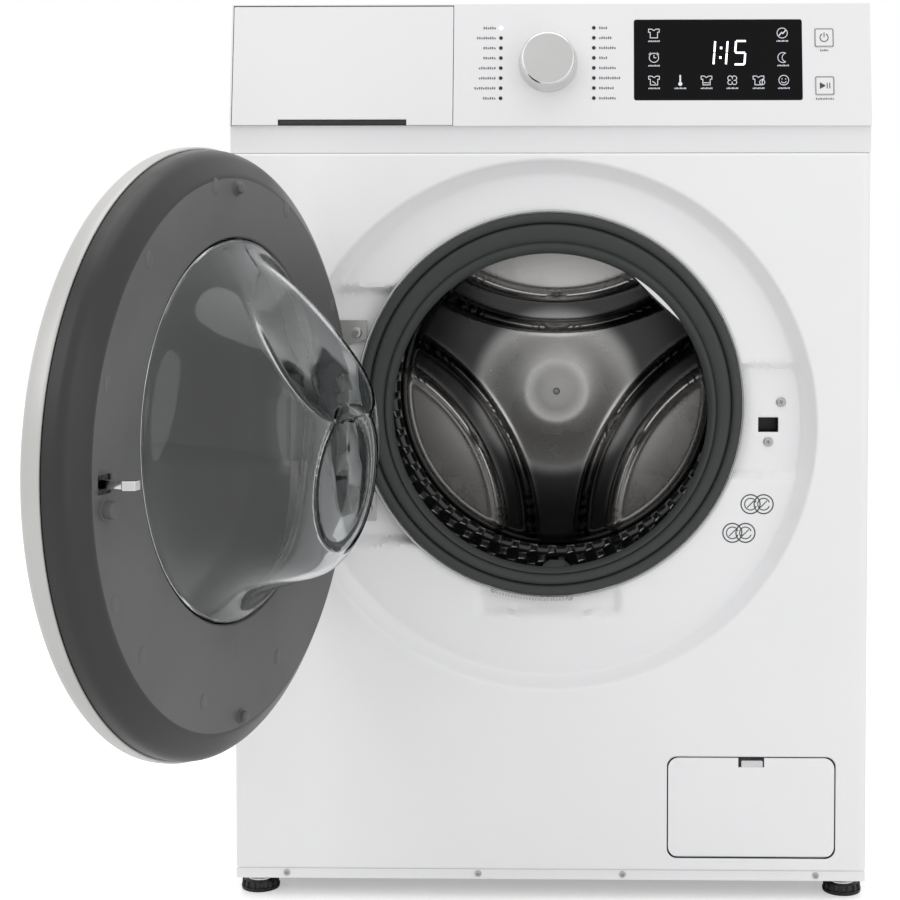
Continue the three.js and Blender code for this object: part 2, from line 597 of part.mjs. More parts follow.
/** The cabinet's half of the hinge: a plate with two ears and two bent arms round the pin. */
function hingePlate() {
  const { height, knuckle, arm, pin, barrel } = hinge;
  const [x, y] = [pivotX, door.pivotY];
  const back = recess.hingeDepth - gap;
  const near = x + hinge.edge;
  const reach = Math.sqrt(floorRadius ** 2 - near ** 2) - hinge.earClearance;
  const [lower, upper] = [height - reach + 2, height + reach];
  const ear = hinge.earHeight;
  const shape = outline([[near, lower], [x + 50, lower], [x + 50, lower + ear + 10], [x + 22.5, lower + ear + 16],
    [x + 22.5, upper - ear - 7], [x + 42, upper - ear], [x + 42, upper], [near, upper]]);
  const sheet = plate(shape, back - 2.6, back);
  const arms = [-1, 1].map((side) => {
    const ends = [height + side * (knuckle + gap), height + side * arm];
    const [z0, z1] = [Math.min(...ends), Math.max(...ends)];
    const bent = upright(outline([[x + 2, y - 5], [x + 18, y + 1], [x + 20.5, y + 5], [x + 20.5, back - 2],
      [x + 14, back - 2], [x + 14, y + 9], [x - 3, y + 5]]), z0, z1);
    return join(bent, post(barrel, z0, z1, x, y));
  });
  const bore = post(pin + gap, height - arm - 1, height + arm + 1, x, y);
  return piece('hinge_plate', cut(join(sheet, ...arms), bore), 'zinc');
}

/** The lock behind the front panel, open at its slot. */
function doorLock() {
  const y0 = recess.lockDepth + cabinet.sheet + gap;
  const { x, width, height } = latch;
  const body = box(x - width / 2 - 6, x + width / 2 + 6, y0, y0 + 22, recess.height - 30, recess.height + 30);
  const slot = box(x - width / 2, x + width / 2, y0 - 1, y0 + 19, recess.height - height / 2,
    recess.height + height / 2);
  return piece('door_lock', cut(body, slot), 'blackPlastic');
}

// ---------------------------------------------------------------- tub and gasket

/** The rubber bellows from the front panel to the tub's neck; the two ends are not in line. */
function doorGasket() {
  const { radius, lip, thickness, height } = gasket;
  const cuff = tub.neck + 6 + gap + thickness / 2;
  const y = recess.depth - gap - thickness / 2;
  const path = [[radius - 1, y], [radius - 12, y], [lip + 16, y + 7], [lip, y + 11], [lip + 5, y + 17],
    [lip + 19, y + 25], [lip + 11, y + 39], [cuff - 5, y + 52], [cuff, tub.front - 5], [cuff, tub.front + 5]];
  const points = wallProfile(path, thickness).map(([r, d]) => new THREE.Vector2(r, d));
  const geometry = new THREE.LatheGeometry([...points, points[0]], facets);
  const place = geometry.attributes.position;
  for (let i = 0; i < place.count; i += 1) {
    const share = THREE.MathUtils.smoothstep(place.getY(i), y + 20, tub.front - 8);
    place.setZ(i, place.getZ(i) + THREE.MathUtils.lerp(height, drum.height, share));
  }
  return piece('door_gasket', solidOf(geometry), 'rubber');
}

/** The front half of the tub, with the neck that the gasket grips. */
function tubFront() {
  const { neck, front, wall, seam } = tub;
  return piece('tub_front', turned([
    [neck, front], [neck + 6, front], [neck + 6, front + 6], [neck + 24, front + 11], [tubOuter - 10, front + 20],
    [tubOuter, front + 28], [tubOuter, seam], [tubRadius, seam], [tubRadius, front + 31],
    [tubOuter - 12, front + 24.5], [neck + 23, front + 15], [neck, front + 9],
  ], drum.height), 'paleGrey');
}

/** How low the tub reaches below the drum's axis at a given sideways distance. */
function tubDrop(x) {
  return Math.sqrt(tubOuter ** 2 - x ** 2);
}

/** The rear half of the tub: bearing boss, sump, and lugs for springs, dampers and motor. */
function tubRear() {
  const { seam, wall } = tub;
  const [boss, bore] = [bearing.radius + bearing.wall, bearing.radius + gap];
  const shellStart = seam + gap;
  const outer = turned([[0, shellStart], [tubOuter, shellStart], [tubOuter, tubBack - 4], [tubOuter - 9, tubBack + 6],
    [boss + 6, tubBack + 6], [boss, bossEnd], [0, bossEnd]], drum.height);
  const inner = turned([[0, shellStart - 1], [tubRadius, shellStart - 1], [tubRadius, tubBack - 8],
    [tubRadius - 8, tubBack], [0, tubBack]], drum.height);
  const floor = drum.height - tubOuter;
  const [sumpFront, sumpBack, sumpZ] = [shellStart + 24, tubBack - 6, floor - 18];
  const sumpOut = box(-60, 60, sumpFront, sumpBack, sumpZ, floor + 30);
  const sumpIn = box(-60 + wall, 60 - wall, sumpFront + wall, sumpBack - wall, sumpZ + wall, floor + 60);
  const outlet = post(15, sumpZ - 20, sumpZ + 1, 30, sumpFront + 25);
  const drain = post(12, sumpZ - 21, sumpZ + wall + 1, 30, sumpFront + 25);
  const inlet = post(20, drum.height + tubDrop(spoutX()) - 25, hoseFoot() + 10, spoutX(), spoutY());
  const inletBore = post(17, drum.height + 60, drum.height + tubOuter + 60, spoutX(), spoutY());
  const springLugs = [-1, 1].map((side) => box(side * spring.x - 12, side * spring.x + 12, spring.y - 8,
    spring.y + 8, drum.height + tubDrop(spring.x) - 22, springFoot() - gap));
  const damperLugs = [-1, 1].map((side) => box(side * damper.x - 12, side * damper.x + 12, damper.y - 8,
    damper.y + 8, rodTop() + gap, drum.height - tubDrop(damper.x) + 16));
  const motorTop = drive.motorHeight + drive.motor;
  const motorLugs = [36, 106].map((back) => box(drive.motorX - 10, drive.motorX + 10, tubBack - back - 12,
    tubBack - back, motorTop + 0.1, drum.height - tubDrop(drive.motorX) + 5));
  const body = join(outer, sumpOut, outlet, inlet, ...springLugs, ...damperLugs, ...motorLugs);
  const motorSpace = bar(drive.motor + gap, tubBack - 150, tubBack + 30, drive.motorX, drive.motorHeight, 24);
  const heaterHole = box(-36 - gap, 36 + gap, tubBack - wall - 12, tubBack + 10, floor + 1, floor + 17);
  return piece('tub_rear', cut(body, inner, sumpIn, drain, inletBore, motorSpace, heaterHole,
    bar(bore, tubBack - 1, bossEnd + 1, 0, drum.height)), 'paleGrey');
}

/** The lower end of the dispenser's hose, just clear of the tub's round side. */
function hoseFoot() {
  return drum.height + tubDrop(Math.abs(spoutX()) - 24) + 1;
}

/** The lower end of the tub's springs. */
function springFoot() {
  return drum.height + tubDrop(spring.x) + 34;
}

/** The upper end of the damper rods. */
function rodTop() {
  return drum.height - tubDrop(damper.x) - 26;
}

/** A tub spring, as the closed outer shape of its coil and end hooks. */
function tubSpring(name, side) {
  const [z0, z1] = [springFoot(), top - worktop.thickness - gap - 23 - gap];
  const { radius, x, y } = spring;
  const coil = post(radius, z0 + 22, z1 - 22, side * x, y, 20);
  const ends = post(2.5, z0, z1, side * x, y, 10);
  return piece(name, join(coil, ends), 'zinc');
}

/** The damper's cylinder, standing in its seat on the base. */
function damperCylinder(name, side) {
  const z0 = cabinet.clearance + 1.6 + 3 + gap;
  const body = post(damper.radius, z0, rodTop() - 35, side * damper.x, damper.y);
  return piece(name, cut(body, post(damper.rod + 0.6, z0 + 6, rodTop(), side * damper.x, damper.y, 16)), 'blackPlastic');
}

/** The damper's rod, hanging from the tub. */
function damperRod(name, side) {
  return piece(name, post(damper.rod, cabinet.clearance + 60, rodTop(), side * damper.x, damper.y, 16), 'steel');
}

/** The cast ring bolted to the front of the tub. */
function counterweight() {
  const y1 = tub.front + 6;
  const { inner, outer, thickness } = weight;
  return piece('counterweight', turned([[inner, y1 - thickness], [outer, y1 - thickness], [outer, y1], [inner, y1]],
    drum.height), 'iron');
}

/** The two bearings of the drum shaft in their sleeve. */
function bearingCartridge() {
  return piece('bearing_cartridge', turned([
    [drive.shaft + gap, tubBack + 2], [bearing.radius, tubBack + 2], [bearing.radius, bossEnd - 3],
    [drive.shaft + gap, bossEnd - 3],
  ], drum.height, 0, 24), 'steel');
}

/** The heating element in the sump, with the flange that closes its hole. */
function heater() {
  const z = drum.height - tubOuter + 9;
  const [y0, y1] = [tub.seam + 44, tubBack - 12];
  const flange = box(-36, 36, tubBack - tub.wall - 6, tubBack + 6.5, z - 8 + gap, z + 8 - gap);
  const section = new THREE.Shape().absarc(0, 0, 4, 0, 2 * Math.PI, false);
  const rod = along(section, [[-26, y1 + 4, z], [-26, y0 + 26, z], [-18, y0 + 8, z], [0, y0, z], [18, y0 + 8, z],
    [26, y0 + 26, z], [26, y1 + 4, z]], 18);
  return piece('heater', join(rod, flange), 'steel');
}

/** A hose from the tub's sump to the pump. */
function sumpHose() {
  const sumpZ = drum.height - tubOuter - 18;
  const y = tub.seam + gap + 49;
  const radius = 15;
  return piece('sump_hose', hose([[30, y, sumpZ - 20 - gap], [30, y, sumpZ - 50], [36, y - 40, flapZ + 6],
    [70, pumpInletY() + 30, flapZ], [flapX - pump.cap - 46, pumpInletY(), flapZ],
    [flapX - pump.cap - 26 - gap, pumpInletY(), flapZ]], radius, 2.5, 14), 'rubber');
}

/** A short bellows from the dispenser's spout to the tub. */
function dispenserHose() {
  const [z0, z1] = [hoseFoot(), trayHeight(1.5)[0] - 20];
  const tube = post(23, z0, z1, spoutX(), spoutY());
  return piece('dispenser_hose', cut(tube, post(20 + gap, z0 - 1, z1 + 1, spoutX(), spoutY())), 'rubber');
}

// ---------------------------------------------------------------- drum and drive

/** The drum's cylinder. */
function drumShell() {
  const { radius, sheet, front, back, height } = drum;
  return piece('drum_shell', turned([[radius, front + 41], [radius, back + 2], [radius - sheet, back + 2],
    [radius - sheet, front + 41]], height, 0, drumFacets), 'steel');
}

/** The drum's front, rolled into a round lip at its mouth. */
function drumFront() {
  const { radius, front, mouth, height } = drum;
  const path = [[mouth + 1, front + 4], [mouth + 3, front + 1], [mouth + 9, front + 4], [mouth + 28, front + 15],
    [radius - 9, front + 30], [radius - 0.7, front + 40]];
  return piece('drum_front', turned(wallProfile(path, 1.4), height, 0, drumFacets), 'steel');
}

/** The drum's back with its raised middle. */
function drumBack() {
  const { back, height } = drum;
  const reach = drum.radius - drum.sheet - gap;
  const face = [[0, back - 17], [37, back - 17], [58, back - 6], [172, back - 6], [178, back - 2], [reach, back - 2]];
  const rear = face.map(([r, y]) => [r, y + 2]).reverse();
  return piece('drum_back', turned([...face, ...rear], height, 0, drumFacets), 'steel');
}

/** One of the three lifters that carry the laundry round. */
function drumLifter(name, angle) {
  const clear = (drum.radius - drum.sheet) * Math.cos(Math.PI / drumFacets) - gap;
  const reach = Math.sqrt(clear ** 2 - (lifter.base / 2) ** 2);
  const tip = reach - lifter.height;
  const shape = outline([[lifter.base / 2, -reach], [lifter.tip / 2, -tip - 5], [lifter.tip / 2 - 6, -tip],
    [-lifter.tip / 2 + 6, -tip], [-lifter.tip / 2, -tip - 5], [-lifter.base / 2, -reach]]);
  const solid = plate(shape, drum.front + 45, drum.back - 12);
  return piece(name, solid.rotate([0, angle, 0]).translate([0, 0, drum.height]), 'paleGrey');
}

/** The cast three-armed spider behind the drum, with the drum's shaft. */
function spider() {
  const y0 = drum.back + 1;
  const reach = drum.radius - 10;
  const arms = [0, 120, 240].map((angle) => (
    box(-17, 17, y0, y0 + 12, -reach, 0).rotate([0, angle, 0]).translate([0, 0, drum.height])));
  const hub = bar(36, y0, tubBack - 2, 0, drum.height);
  const shaft = bar(drive.shaft, tubBack - 3, bossEnd + 20, 0, drum.height);
  return piece('spider', join(hub, ...arms, shaft), 'aluminium');
}

/** The large pulley on the drum's shaft. */
function drumPulley() {
  const { pulley, shaft } = drive;
  const disc = turned([[shaft + gap, bossEnd + 1], [shaft + 11, bossEnd + 1], [shaft + 11, beltY - 2],
    [pulley - 4, beltY - 2], [pulley - 4, beltY - 8], [pulley, beltY - 8], [pulley, beltY + 8],
    [pulley - 4, beltY + 8], [pulley - 4, beltY + 2], [shaft + 11, beltY + 2], [shaft + 11, bossEnd + 18],
    [shaft + gap, bossEnd + 18]], drum.height, 0, 24);
  const windowRadius = (pulley - shaft) * 0.26;
  const ring = (pulley + shaft + 7) / 2;
  const windows = [0, 1, 2, 3, 4].map((i) => {
    const turn = (i * 2 * Math.PI) / 5;
    return bar(windowRadius, beltY - 5, beltY + 5, ring * Math.cos(turn), drum.height + ring * Math.sin(turn), 10);
  });
  return piece('drum_pulley', cut(disc, ...windows), 'aluminium');
}

/** The outline of a loop round the two pulleys, grown by an offset. */
function loopOutline(offset, holePath) {
  const across = new THREE.Vector2(drive.motorX, drive.motorHeight - drum.height);
  const [large, small] = [drive.pulley + offset, drive.motorPulley + offset];
  const spread = Math.acos((large - small) / across.length());
  const heading = across.angle();
  const shape = holePath ? new THREE.Path() : new THREE.Shape();
  shape.absarc(0, drum.height, large, heading + spread, heading - spread + 2 * Math.PI, false);
  shape.absarc(across.x, drive.motorHeight, small, heading - spread, heading + spread, false);
  return shape;
}

/** The drive belt. */
function driveBelt() {
  const shape = loopOutline(2 * gap + drive.belt, false);
  shape.holes.push(loopOutline(2 * gap, true));
  const settings = { depth: drive.beltWidth, bevelEnabled: false, curveSegments: 14 };
  const geometry = new THREE.ExtrudeGeometry(shape, settings).rotateX(Math.PI / 2);
  return piece('drive_belt', solidOf(geometry.translate(0, beltY + drive.beltWidth / 2, 0)), 'rubber');
}

/** The motor's body, hung under the tub. */
function motor() {
  const { motorX, motorHeight } = drive;
  const [y0, y1] = [tubBack - 130, tubBack + 14];
  const body = join(bar(drive.motor, y0 + 14, y1 - 14, motorX, motorHeight, 24),
    bar(drive.motor - 8, y0, y1, motorX, motorHeight, 24));
  return piece('motor', cut(body, bar(6 + gap, y1 - 20, y1 + 1, motorX, motorHeight, 16)), 'zinc');
}

/** The motor's shaft and small pulley. */
function motorPulley() {
  const { motorX, motorHeight, motorPulley: radius } = drive;
  return piece('motor_pulley', join(bar(6, tubBack - 4, beltY, motorX, motorHeight, 16),
    bar(radius, beltY - 8, beltY + 8, motorX, motorHeight, 24)), 'steel');
}

// ---------------------------------------------------------------- water, feet and service flap

/** The plan place of the inlet valve. */
function valveX() {
  return half - 59;
}

/** The height of the inlet valve. */
function valveZ() {
  return top - 60;
}

/** The plan place of the drain outlet. */
function drainX() {
  return -half + 49;
}

/** The height of the drain outlet. */
function drainZ() {
  return drum.height + 210;
}

/** The water inlet valve with its threaded spout. */
function inletValve() {
  const [x, z] = [valveX(), valveZ()];
  return piece('inlet_valve', cut(join(box(x - 20, x + 20, rearPanelY - 46, rearPanelY - gap, z - 22, z + 22),
    bar(13, rearPanelY - 1, cabinet.depth - 2, x, z, 24)),
  bar(10, rearPanelY - 20, cabinet.depth, x, z, 20)), 'whitePlastic');
}

/** The gland that a mains lead enters by. */
function mainsInlet() {
  const [x, z] = [-valveX(), valveZ()];
  const y = rearPanelY + cabinet.sheet + gap;
  return piece('mains_inlet', cut(join(bar(9.2, rearPanelY - 8, y + 12, x, z, 20), bar(13, y, y + 3, x, z, 20)),
    bar(5, rearPanelY - 9, y + 13, x, z, 16)), 'blackPlastic');
}

/** The spigot that a drain hose fits on. */
function drainOutlet() {
  const y = rearPanelY + cabinet.sheet + gap;
  return piece('drain_outlet', cut(join(bar(11, rearPanelY - 20, y + 14, drainX(), drainZ(), 20),
    bar(15, y, y + 3, drainX(), drainZ(), 20)), bar(8.5, rearPanelY - 21, y + 15, drainX(), drainZ(), 20)),
  'blackPlastic');
}

/** How far back the pump's inlet stands. */
function pumpInletY() {
  return pump.depth - 14;
}

/** The drain pump with the plate that backs the flap's opening. */
function drainPump() {
  const { cap, wall, depth } = pump;
  const y0 = cabinet.fold + 9;
  const outer = cap + gap + wall;
  const lower = cabinet.clearance + 20;
  const backing = plate(roundedRectangle(flapX - flap.width / 2 - 7, flapX + flap.width / 2 + 7, lower,
    flap.bottom + flap.height + 6, 8), y0, y0 + 2);
  const chamber = bar(outer, y0, depth, flapX, flapZ);
  const rotorHousing = bar(outer - 10, depth - 1, depth + 60, flapX, flapZ);
  const nipple = spindle(15, flapX - outer - 23.7, flapX - outer + 12, pumpInletY(), flapZ);
  const inletBore = spindle(12, flapX - outer - 25, flapX - outer + 12, pumpInletY(), flapZ);
  const well = bar(cap + gap, y0 - 1, depth - 6, flapX, flapZ);
  return piece('drain_pump', cut(join(backing, chamber, rotorHousing, nipple), well, inletBore), 'paleGrey');
}

/** The cap that closes the pump's filter, with its grip. */
function filterCap() {
  const y0 = cabinet.fold + 4;
  const cap = join(bar(pump.cap, y0, y0 + 16, flapX, flapZ),
    box(flapX - pump.cap + 8, flapX + pump.cap - 8, y0 - 9, y0 + 1, flapZ - 5, flapZ + 5),
    bar(pump.cap - 8, y0 + 15, pump.depth - 26, flapX, flapZ, 24));
  return piece('filter_cap', cap, 'greyPlastic');
}

/** The flap over the filter, notched at the top and hinged at the bottom. */
function filterFlap() {
  const { width, bottom, height, corner, thickness } = flap;
  const face = plate(roundedRectangle(flapX - width / 2, flapX + width / 2, bottom, bottom + height, corner), 0,
    thickness);
  const notch = box(flapX - 12.2, flapX + 12.2, -1, thickness + 1, bottom + height - 9, bottom + height + 1);
  const easing = drawn([[-1, bottom - 1], [2.5, bottom - 1], [-1, bottom + 2.5]], flapX - width, flapX + width);
  const rib = box(flapX - width / 2 + 14, flapX + width / 2 - 14, thickness - 0.1, thickness + 3, bottom + 1,
    bottom + 5);
  return piece('filter_flap', join(cut(face, notch, easing), rib), 'paint');
}

/** A levelling foot: a ribbed pad, a hexagonal shoulder and a stud. */
function levellingFoot(name, x, y) {
  const { pad, stud, length } = foot;
  const shoulder = cabinet.clearance + 1.6 - gap;
  return piece(`foot_${name}`, join(post(pad, 0, 9, x, y, 12), post(11, 8, shoulder, x, y, 6),
    post(stud, 8, length, x, y, 16)), 'blackPlastic');
}

// ---------------------------------------------------------------- assembly

const machine = new THREE.Group();
machine.add(
  frontPanel(), sidePanel('side_panel_left', -1), sidePanel('side_panel_right', 1), rearPanel(), rearCover(),
  baseFrame(), plinthStrip(), worktopSlab(), consoleFascia(), dispenserHousing(), hingePlate(), doorLock(),
  drawerFront(), drawerTray(), consoleParts(), openDoor(),
  doorGasket(), tubFront(), tubRear(), counterweight(), bearingCartridge(), heater(), motor(), driveBelt(),
  damperRod('damper_rod_left', -1), damperRod('damper_rod_right', 1),
  damperCylinder('damper_cylinder_left', -1), damperCylinder('damper_cylinder_right', 1),
  tubSpring('tub_spring_left', -1), tubSpring('tub_spring_right', 1), sumpHose(), dispenserHose(),
  drumShell(), drumFront(), drumBack(), drumLifter('drum_lifter_1', 0), drumLifter('drum_lifter_2', 120),
  drumLifter('drum_lifter_3', 240), spider(), drumPulley(), motorPulley(),
  inletValve(), mainsInlet(), drainOutlet(), drainPump(), filterCap(), filterFlap(),
  ...footPlaces().map(([name, x, y]) => levellingFoot(name, x, y)),
);

// The origin is on the floor, in the middle of the space that the open machine takes.
machine.updateMatrixWorld(true);
const extent = new THREE.Box3().setFromObject(machine, true);
const centre = extent.getCenter(new THREE.Vector3());
machine.position.set(-centre.x, -centre.y, -extent.min.z);

export default machine;
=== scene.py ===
"""A front-loading washing machine with its door standing open, lit for a studio view."""

import json
import logging
import math
from dataclasses import dataclass
from enum import Enum
from typing import Callable, Optional, Sequence

import bmesh
import bpy
from mathutils import Matrix, Vector


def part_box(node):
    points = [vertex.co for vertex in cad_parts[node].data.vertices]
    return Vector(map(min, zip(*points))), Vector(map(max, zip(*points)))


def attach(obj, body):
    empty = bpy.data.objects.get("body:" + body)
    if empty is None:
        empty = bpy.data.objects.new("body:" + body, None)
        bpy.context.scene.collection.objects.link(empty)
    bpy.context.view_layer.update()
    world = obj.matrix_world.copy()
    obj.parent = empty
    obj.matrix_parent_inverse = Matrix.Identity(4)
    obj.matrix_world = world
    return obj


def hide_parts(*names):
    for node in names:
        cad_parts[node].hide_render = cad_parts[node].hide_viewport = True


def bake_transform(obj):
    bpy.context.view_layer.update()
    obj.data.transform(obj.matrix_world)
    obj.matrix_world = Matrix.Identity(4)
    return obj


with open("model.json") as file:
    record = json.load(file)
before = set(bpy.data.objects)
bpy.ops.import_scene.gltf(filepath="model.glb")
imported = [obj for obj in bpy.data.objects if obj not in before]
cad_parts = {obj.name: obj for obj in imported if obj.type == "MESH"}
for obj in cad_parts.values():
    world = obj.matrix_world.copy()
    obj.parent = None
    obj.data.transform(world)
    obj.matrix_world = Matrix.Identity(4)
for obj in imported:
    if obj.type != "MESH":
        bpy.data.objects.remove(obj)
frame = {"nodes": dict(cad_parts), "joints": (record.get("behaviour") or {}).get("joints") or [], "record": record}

log = logging.getLogger("washing_machine")

MM = 0.001
Point = tuple[float, float, float]
Path = Sequence[tuple[float, float]]


class Pattern(Enum):
    """How the fine marks of a finish run."""

    EVEN = "even"
    BRUSHED = "brushed"
    SPUN = "spun"


# ---------------------------------------------------------------- where things stand


def joint(name: str) -> dict:
    """Find a joint of the frame.

    Args:
        name: The joint's name.

    Returns:
        The joint's record.
    """
    return next(j for j in frame["joints"] if j["name"] == name)


@dataclass(frozen=True)
class Datum:
    """The cabinet's place: sizes here are millimetres from its middle, front face and floor."""

    x: float
    y: float
    console_bottom: float = 730.0
    console_lean: float = 19.0
    console_height: float = 115.0

    @classmethod
    def read(cls) -> "Datum":
        """Read the place from the front panel's box."""
        low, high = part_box("front_panel")
        return cls((low.x + high.x) / 2, low.y)

    def cabinet(self) -> Matrix:
        """The matrix from millimetres on the cabinet to the row frame."""
        return Matrix.Translation((self.x, self.y, 0)) @ Matrix.Scale(MM, 4)

    def door(self) -> Matrix:
        """The matrix from millimetres on the shut door to the row frame, with the door open."""
        swing = joint("door_swing")
        pivot = Vector(swing["pos_m"])
        turn = Matrix.Rotation(-math.radians(swing["range_deg"][1]), 4, "Z")
        return Matrix.Translation(pivot) @ turn @ Matrix.Translation(-pivot) @ self.cabinet()

    def console(self) -> Matrix:
        """The matrix from millimetres on the upright console to the leaning one."""
        lean = math.atan2(self.console_lean, self.console_height)
        foot = Matrix.Translation((0, 0, self.console_bottom))
        return self.cabinet() @ foot @ Matrix.Rotation(-lean, 4, "X")

    def at(self, x: float, y: float, z: float) -> Vector:
        """A point on the cabinet, in the row frame."""
        return self.cabinet() @ Vector((x, y, z))

    def box(self, node: str) -> tuple[Vector, Vector]:
        """A CAD node's lowest and highest corners, in millimetres on the cabinet."""
        place = self.cabinet().inverted()
        low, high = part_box(node)
        return place @ low, place @ high


datum = Datum.read()


# ---------------------------------------------------------------- finishes


class Graph:
    """A small writer of shader nodes in one node tree."""

    def __init__(self, tree: bpy.types.NodeTree) -> None:
        """Keep the tree that the nodes go in."""
        self.tree = tree

    def add(self, kind: str, settings: Optional[dict] = None, **sockets: object) -> bpy.types.Node:
        """Add a node.

        Args:
            kind: The node's type without its ShaderNode prefix.
            settings: Properties of the node.
            sockets: Values or source sockets, by input name with spaces as underscores.

        Returns:
            The node.
        """
        node = self.tree.nodes.new("ShaderNode" + kind)
        for key, value in (settings or {}).items():
            setattr(node, key, value)
        for key, value in sockets.items():
            self.feed(node.inputs[key.replace("_", " ")], value)
        return node

    def feed(self, socket: bpy.types.NodeSocket, value: object) -> None:
        """Link a socket to a source socket, or set it to a value."""
        if isinstance(value, bpy.types.NodeSocket):
            self.tree.links.new(value, socket)
        else:
            socket.default_value = value

    def product(self, a: object, b: object) -> bpy.types.NodeSocket:
        """Multiply two values and return the result."""
        node = self.add("Math", {"operation": "MULTIPLY"})
        self.feed(node.inputs[0], a)
        self.feed(node.inputs[1], b)
        return node.outputs[0]

    def spread(self, value: object, low: float, high: float, to_low: object,
               to_high: object) -> bpy.types.NodeSocket:
        """Map a range of a value smoothly onto another and return the result."""
        node = self.add("MapRange", {"interpolation_type": "SMOOTHSTEP"}, Value=value, From_Min=low,
                        From_Max=high,
                        To_Min=to_low, To_Max=to_high)
        return node.outputs["Result"]

    def blend(self, share: object, a: object, b: object) -> bpy.types.NodeSocket:
        """Mix two colours and return the result."""
        node = self.add("Mix", {"data_type": "RGBA"})
        self.feed(node.inputs["Factor"], share)
        for socket, value in zip([s for s in node.inputs if s.type == "RGBA"], (a, b)):
            self.feed(socket, value)
        return next(s for s in node.outputs if s.type == "RGBA")


class Effects:
    """Shader groups that several finishes share, each made once."""

    _made: dict[str, bpy.types.NodeTree] = {}

    @classmethod
    def get(cls, name: str) -> bpy.types.NodeTree:
        """Return a group, making it the first time.

        Args:
            name: One of grain, brushed, spun, smudge, dust and edge_wear.

        Returns:
            The group's node tree.
        """
        if name not in cls._made:
            cls._made[name] = getattr(cls, "_" + name)()
        return cls._made[name]

    @classmethod
    def place(cls, g: Graph, name: str, **sockets: object) -> bpy.types.Node:
        """Place a group in a material with its own values.

        Args:
            g: The material's node writer.
            name: The group, as in get.
            sockets: Values or source sockets, by input name.

        Returns:
            The group's node.
        """
        return g.add("Group", {"node_tree": cls.get(name)}, **sockets)

    @staticmethod
    def _start(name: str, inputs: dict[str, float], outputs: Sequence[str]) -> tuple:
        """Make an empty group that takes a position, with its other sockets.

        Args:
            name: The group's name.
            inputs: Float inputs with their first values.
            outputs: Names of float outputs.

        Returns:
            The tree, its graph writer, its input node and its output node.
        """
        tree = bpy.data.node_groups.new(name, "ShaderNodeTree")
        tree.interface.new_socket("Vector", in_out="INPUT", socket_type="NodeSocketVector")
        for key, value in inputs.items():
            tree.interface.new_socket(key, in_out="INPUT",
                                      socket_type="NodeSocketFloat").default_value = value
        for key in outputs:
            tree.interface.new_socket(key, in_out="OUTPUT", socket_type="NodeSocketFloat")
        source, sink = tree.nodes.new("NodeGroupInput"), tree.nodes.new("NodeGroupOutput")
        return tree, Graph(tree), source, sink

    @staticmethod
    def _lines(g: Graph, sink: bpy.types.Node, place: bpy.types.NodeSocket,
               scale: bpy.types.NodeSocket) -> None:
        """Feed a group's height and tone from fine noise over a squashed position."""
        lines = g.add("TexNoise", Vector=place, Scale=scale, Detail=3.0)
        g.feed(sink.inputs["Height"], lines.outputs["Fac"])
        g.feed(sink.inputs["Tone"], g.spread(lines.outputs["Fac"], 0.35, 0.65, 0.0, 1.0))

    @classmethod
    def _grain(cls) -> bpy.types.NodeTree:
        """Fine moulded or sprayed texture: a height and a slow tone change."""
        tree, g, source, sink = cls._start("fine_grain", {"Scale": 900.0}, ("Height", "Tone"))
        fine = g.add("TexNoise", Vector=source.outputs["Vector"], Scale=source.outputs["Scale"],
                     Detail=2.0)
        slow = g.add("TexNoise", Vector=source.outputs["Vector"], Scale=7.0, Detail=3.0)
        g.feed(sink.inputs["Height"], fine.outputs["Fac"])
        g.feed(sink.inputs["Tone"], g.spread(slow.outputs["Fac"], 0.3, 0.7, 0.0, 1.0))
        return tree

    @classmethod
    def _brushed(cls) -> bpy.types.NodeTree:
        """Straight lines along X: a height and a tone."""
        tree, g, source, sink = cls._start("brushed_lines", {"Scale": 900.0}, ("Height", "Tone"))
        squash = g.add("Mapping", Vector=source.outputs["Vector"], Scale=(0.02, 1.0, 1.0))
        cls._lines(g, sink, squash.outputs["Vector"], source.outputs["Scale"])
        return tree

    @classmethod
    def _spun(cls) -> bpy.types.NodeTree:
        """Rings round the Y axis of the given position: a height and a tone."""
        tree, g, source, sink = cls._start("spun_rings", {"Scale": 900.0}, ("Height", "Tone"))
        flat = g.add("VectorMath", {"operation": "MULTIPLY"})
        g.feed(flat.inputs[0], source.outputs["Vector"])
        flat.inputs[1].default_value = (1.0, 0.0, 1.0)
        radius = g.add("VectorMath", {"operation": "LENGTH"})
        g.feed(radius.inputs[0], flat.outputs[0])
        ring = g.add("CombineXYZ", X=radius.outputs["Value"])
        cls._lines(g, sink, ring.outputs[0], source.outputs["Scale"])
        return tree

    @classmethod
    def _smudge(cls) -> bpy.types.NodeTree:
        """Faint handling marks that change the gloss."""
        tree, g, source, sink = cls._start("smudges", {"Scale": 14.0}, ("Mask",))
        cloud = g.add("TexNoise", Vector=source.outputs["Vector"], Scale=source.outputs["Scale"],
                      Detail=4.0,
                      Distortion=0.8)
        g.feed(sink.inputs["Mask"], g.spread(cloud.outputs["Fac"], 0.45, 0.7, 0.0, 1.0))
        return tree

    @classmethod
    def _dust(cls) -> bpy.types.NodeTree:
        """A thin settling on faces that look up."""
        tree, g, source, sink = cls._start("settled_dust", {"Amount": 0.1}, ("Mask",))
        up = g.add("SeparateXYZ", Vector=g.add("NewGeometry").outputs["Normal"])
        cloud = g.add("TexNoise", Vector=source.outputs["Vector"], Scale=60.0, Detail=4.0)
        level = g.spread(up.outputs["Z"], 0.5, 1.0, 0.0, source.outputs["Amount"])
        g.feed(sink.inputs["Mask"], g.product(level, cloud.outputs["Fac"]))
        return tree

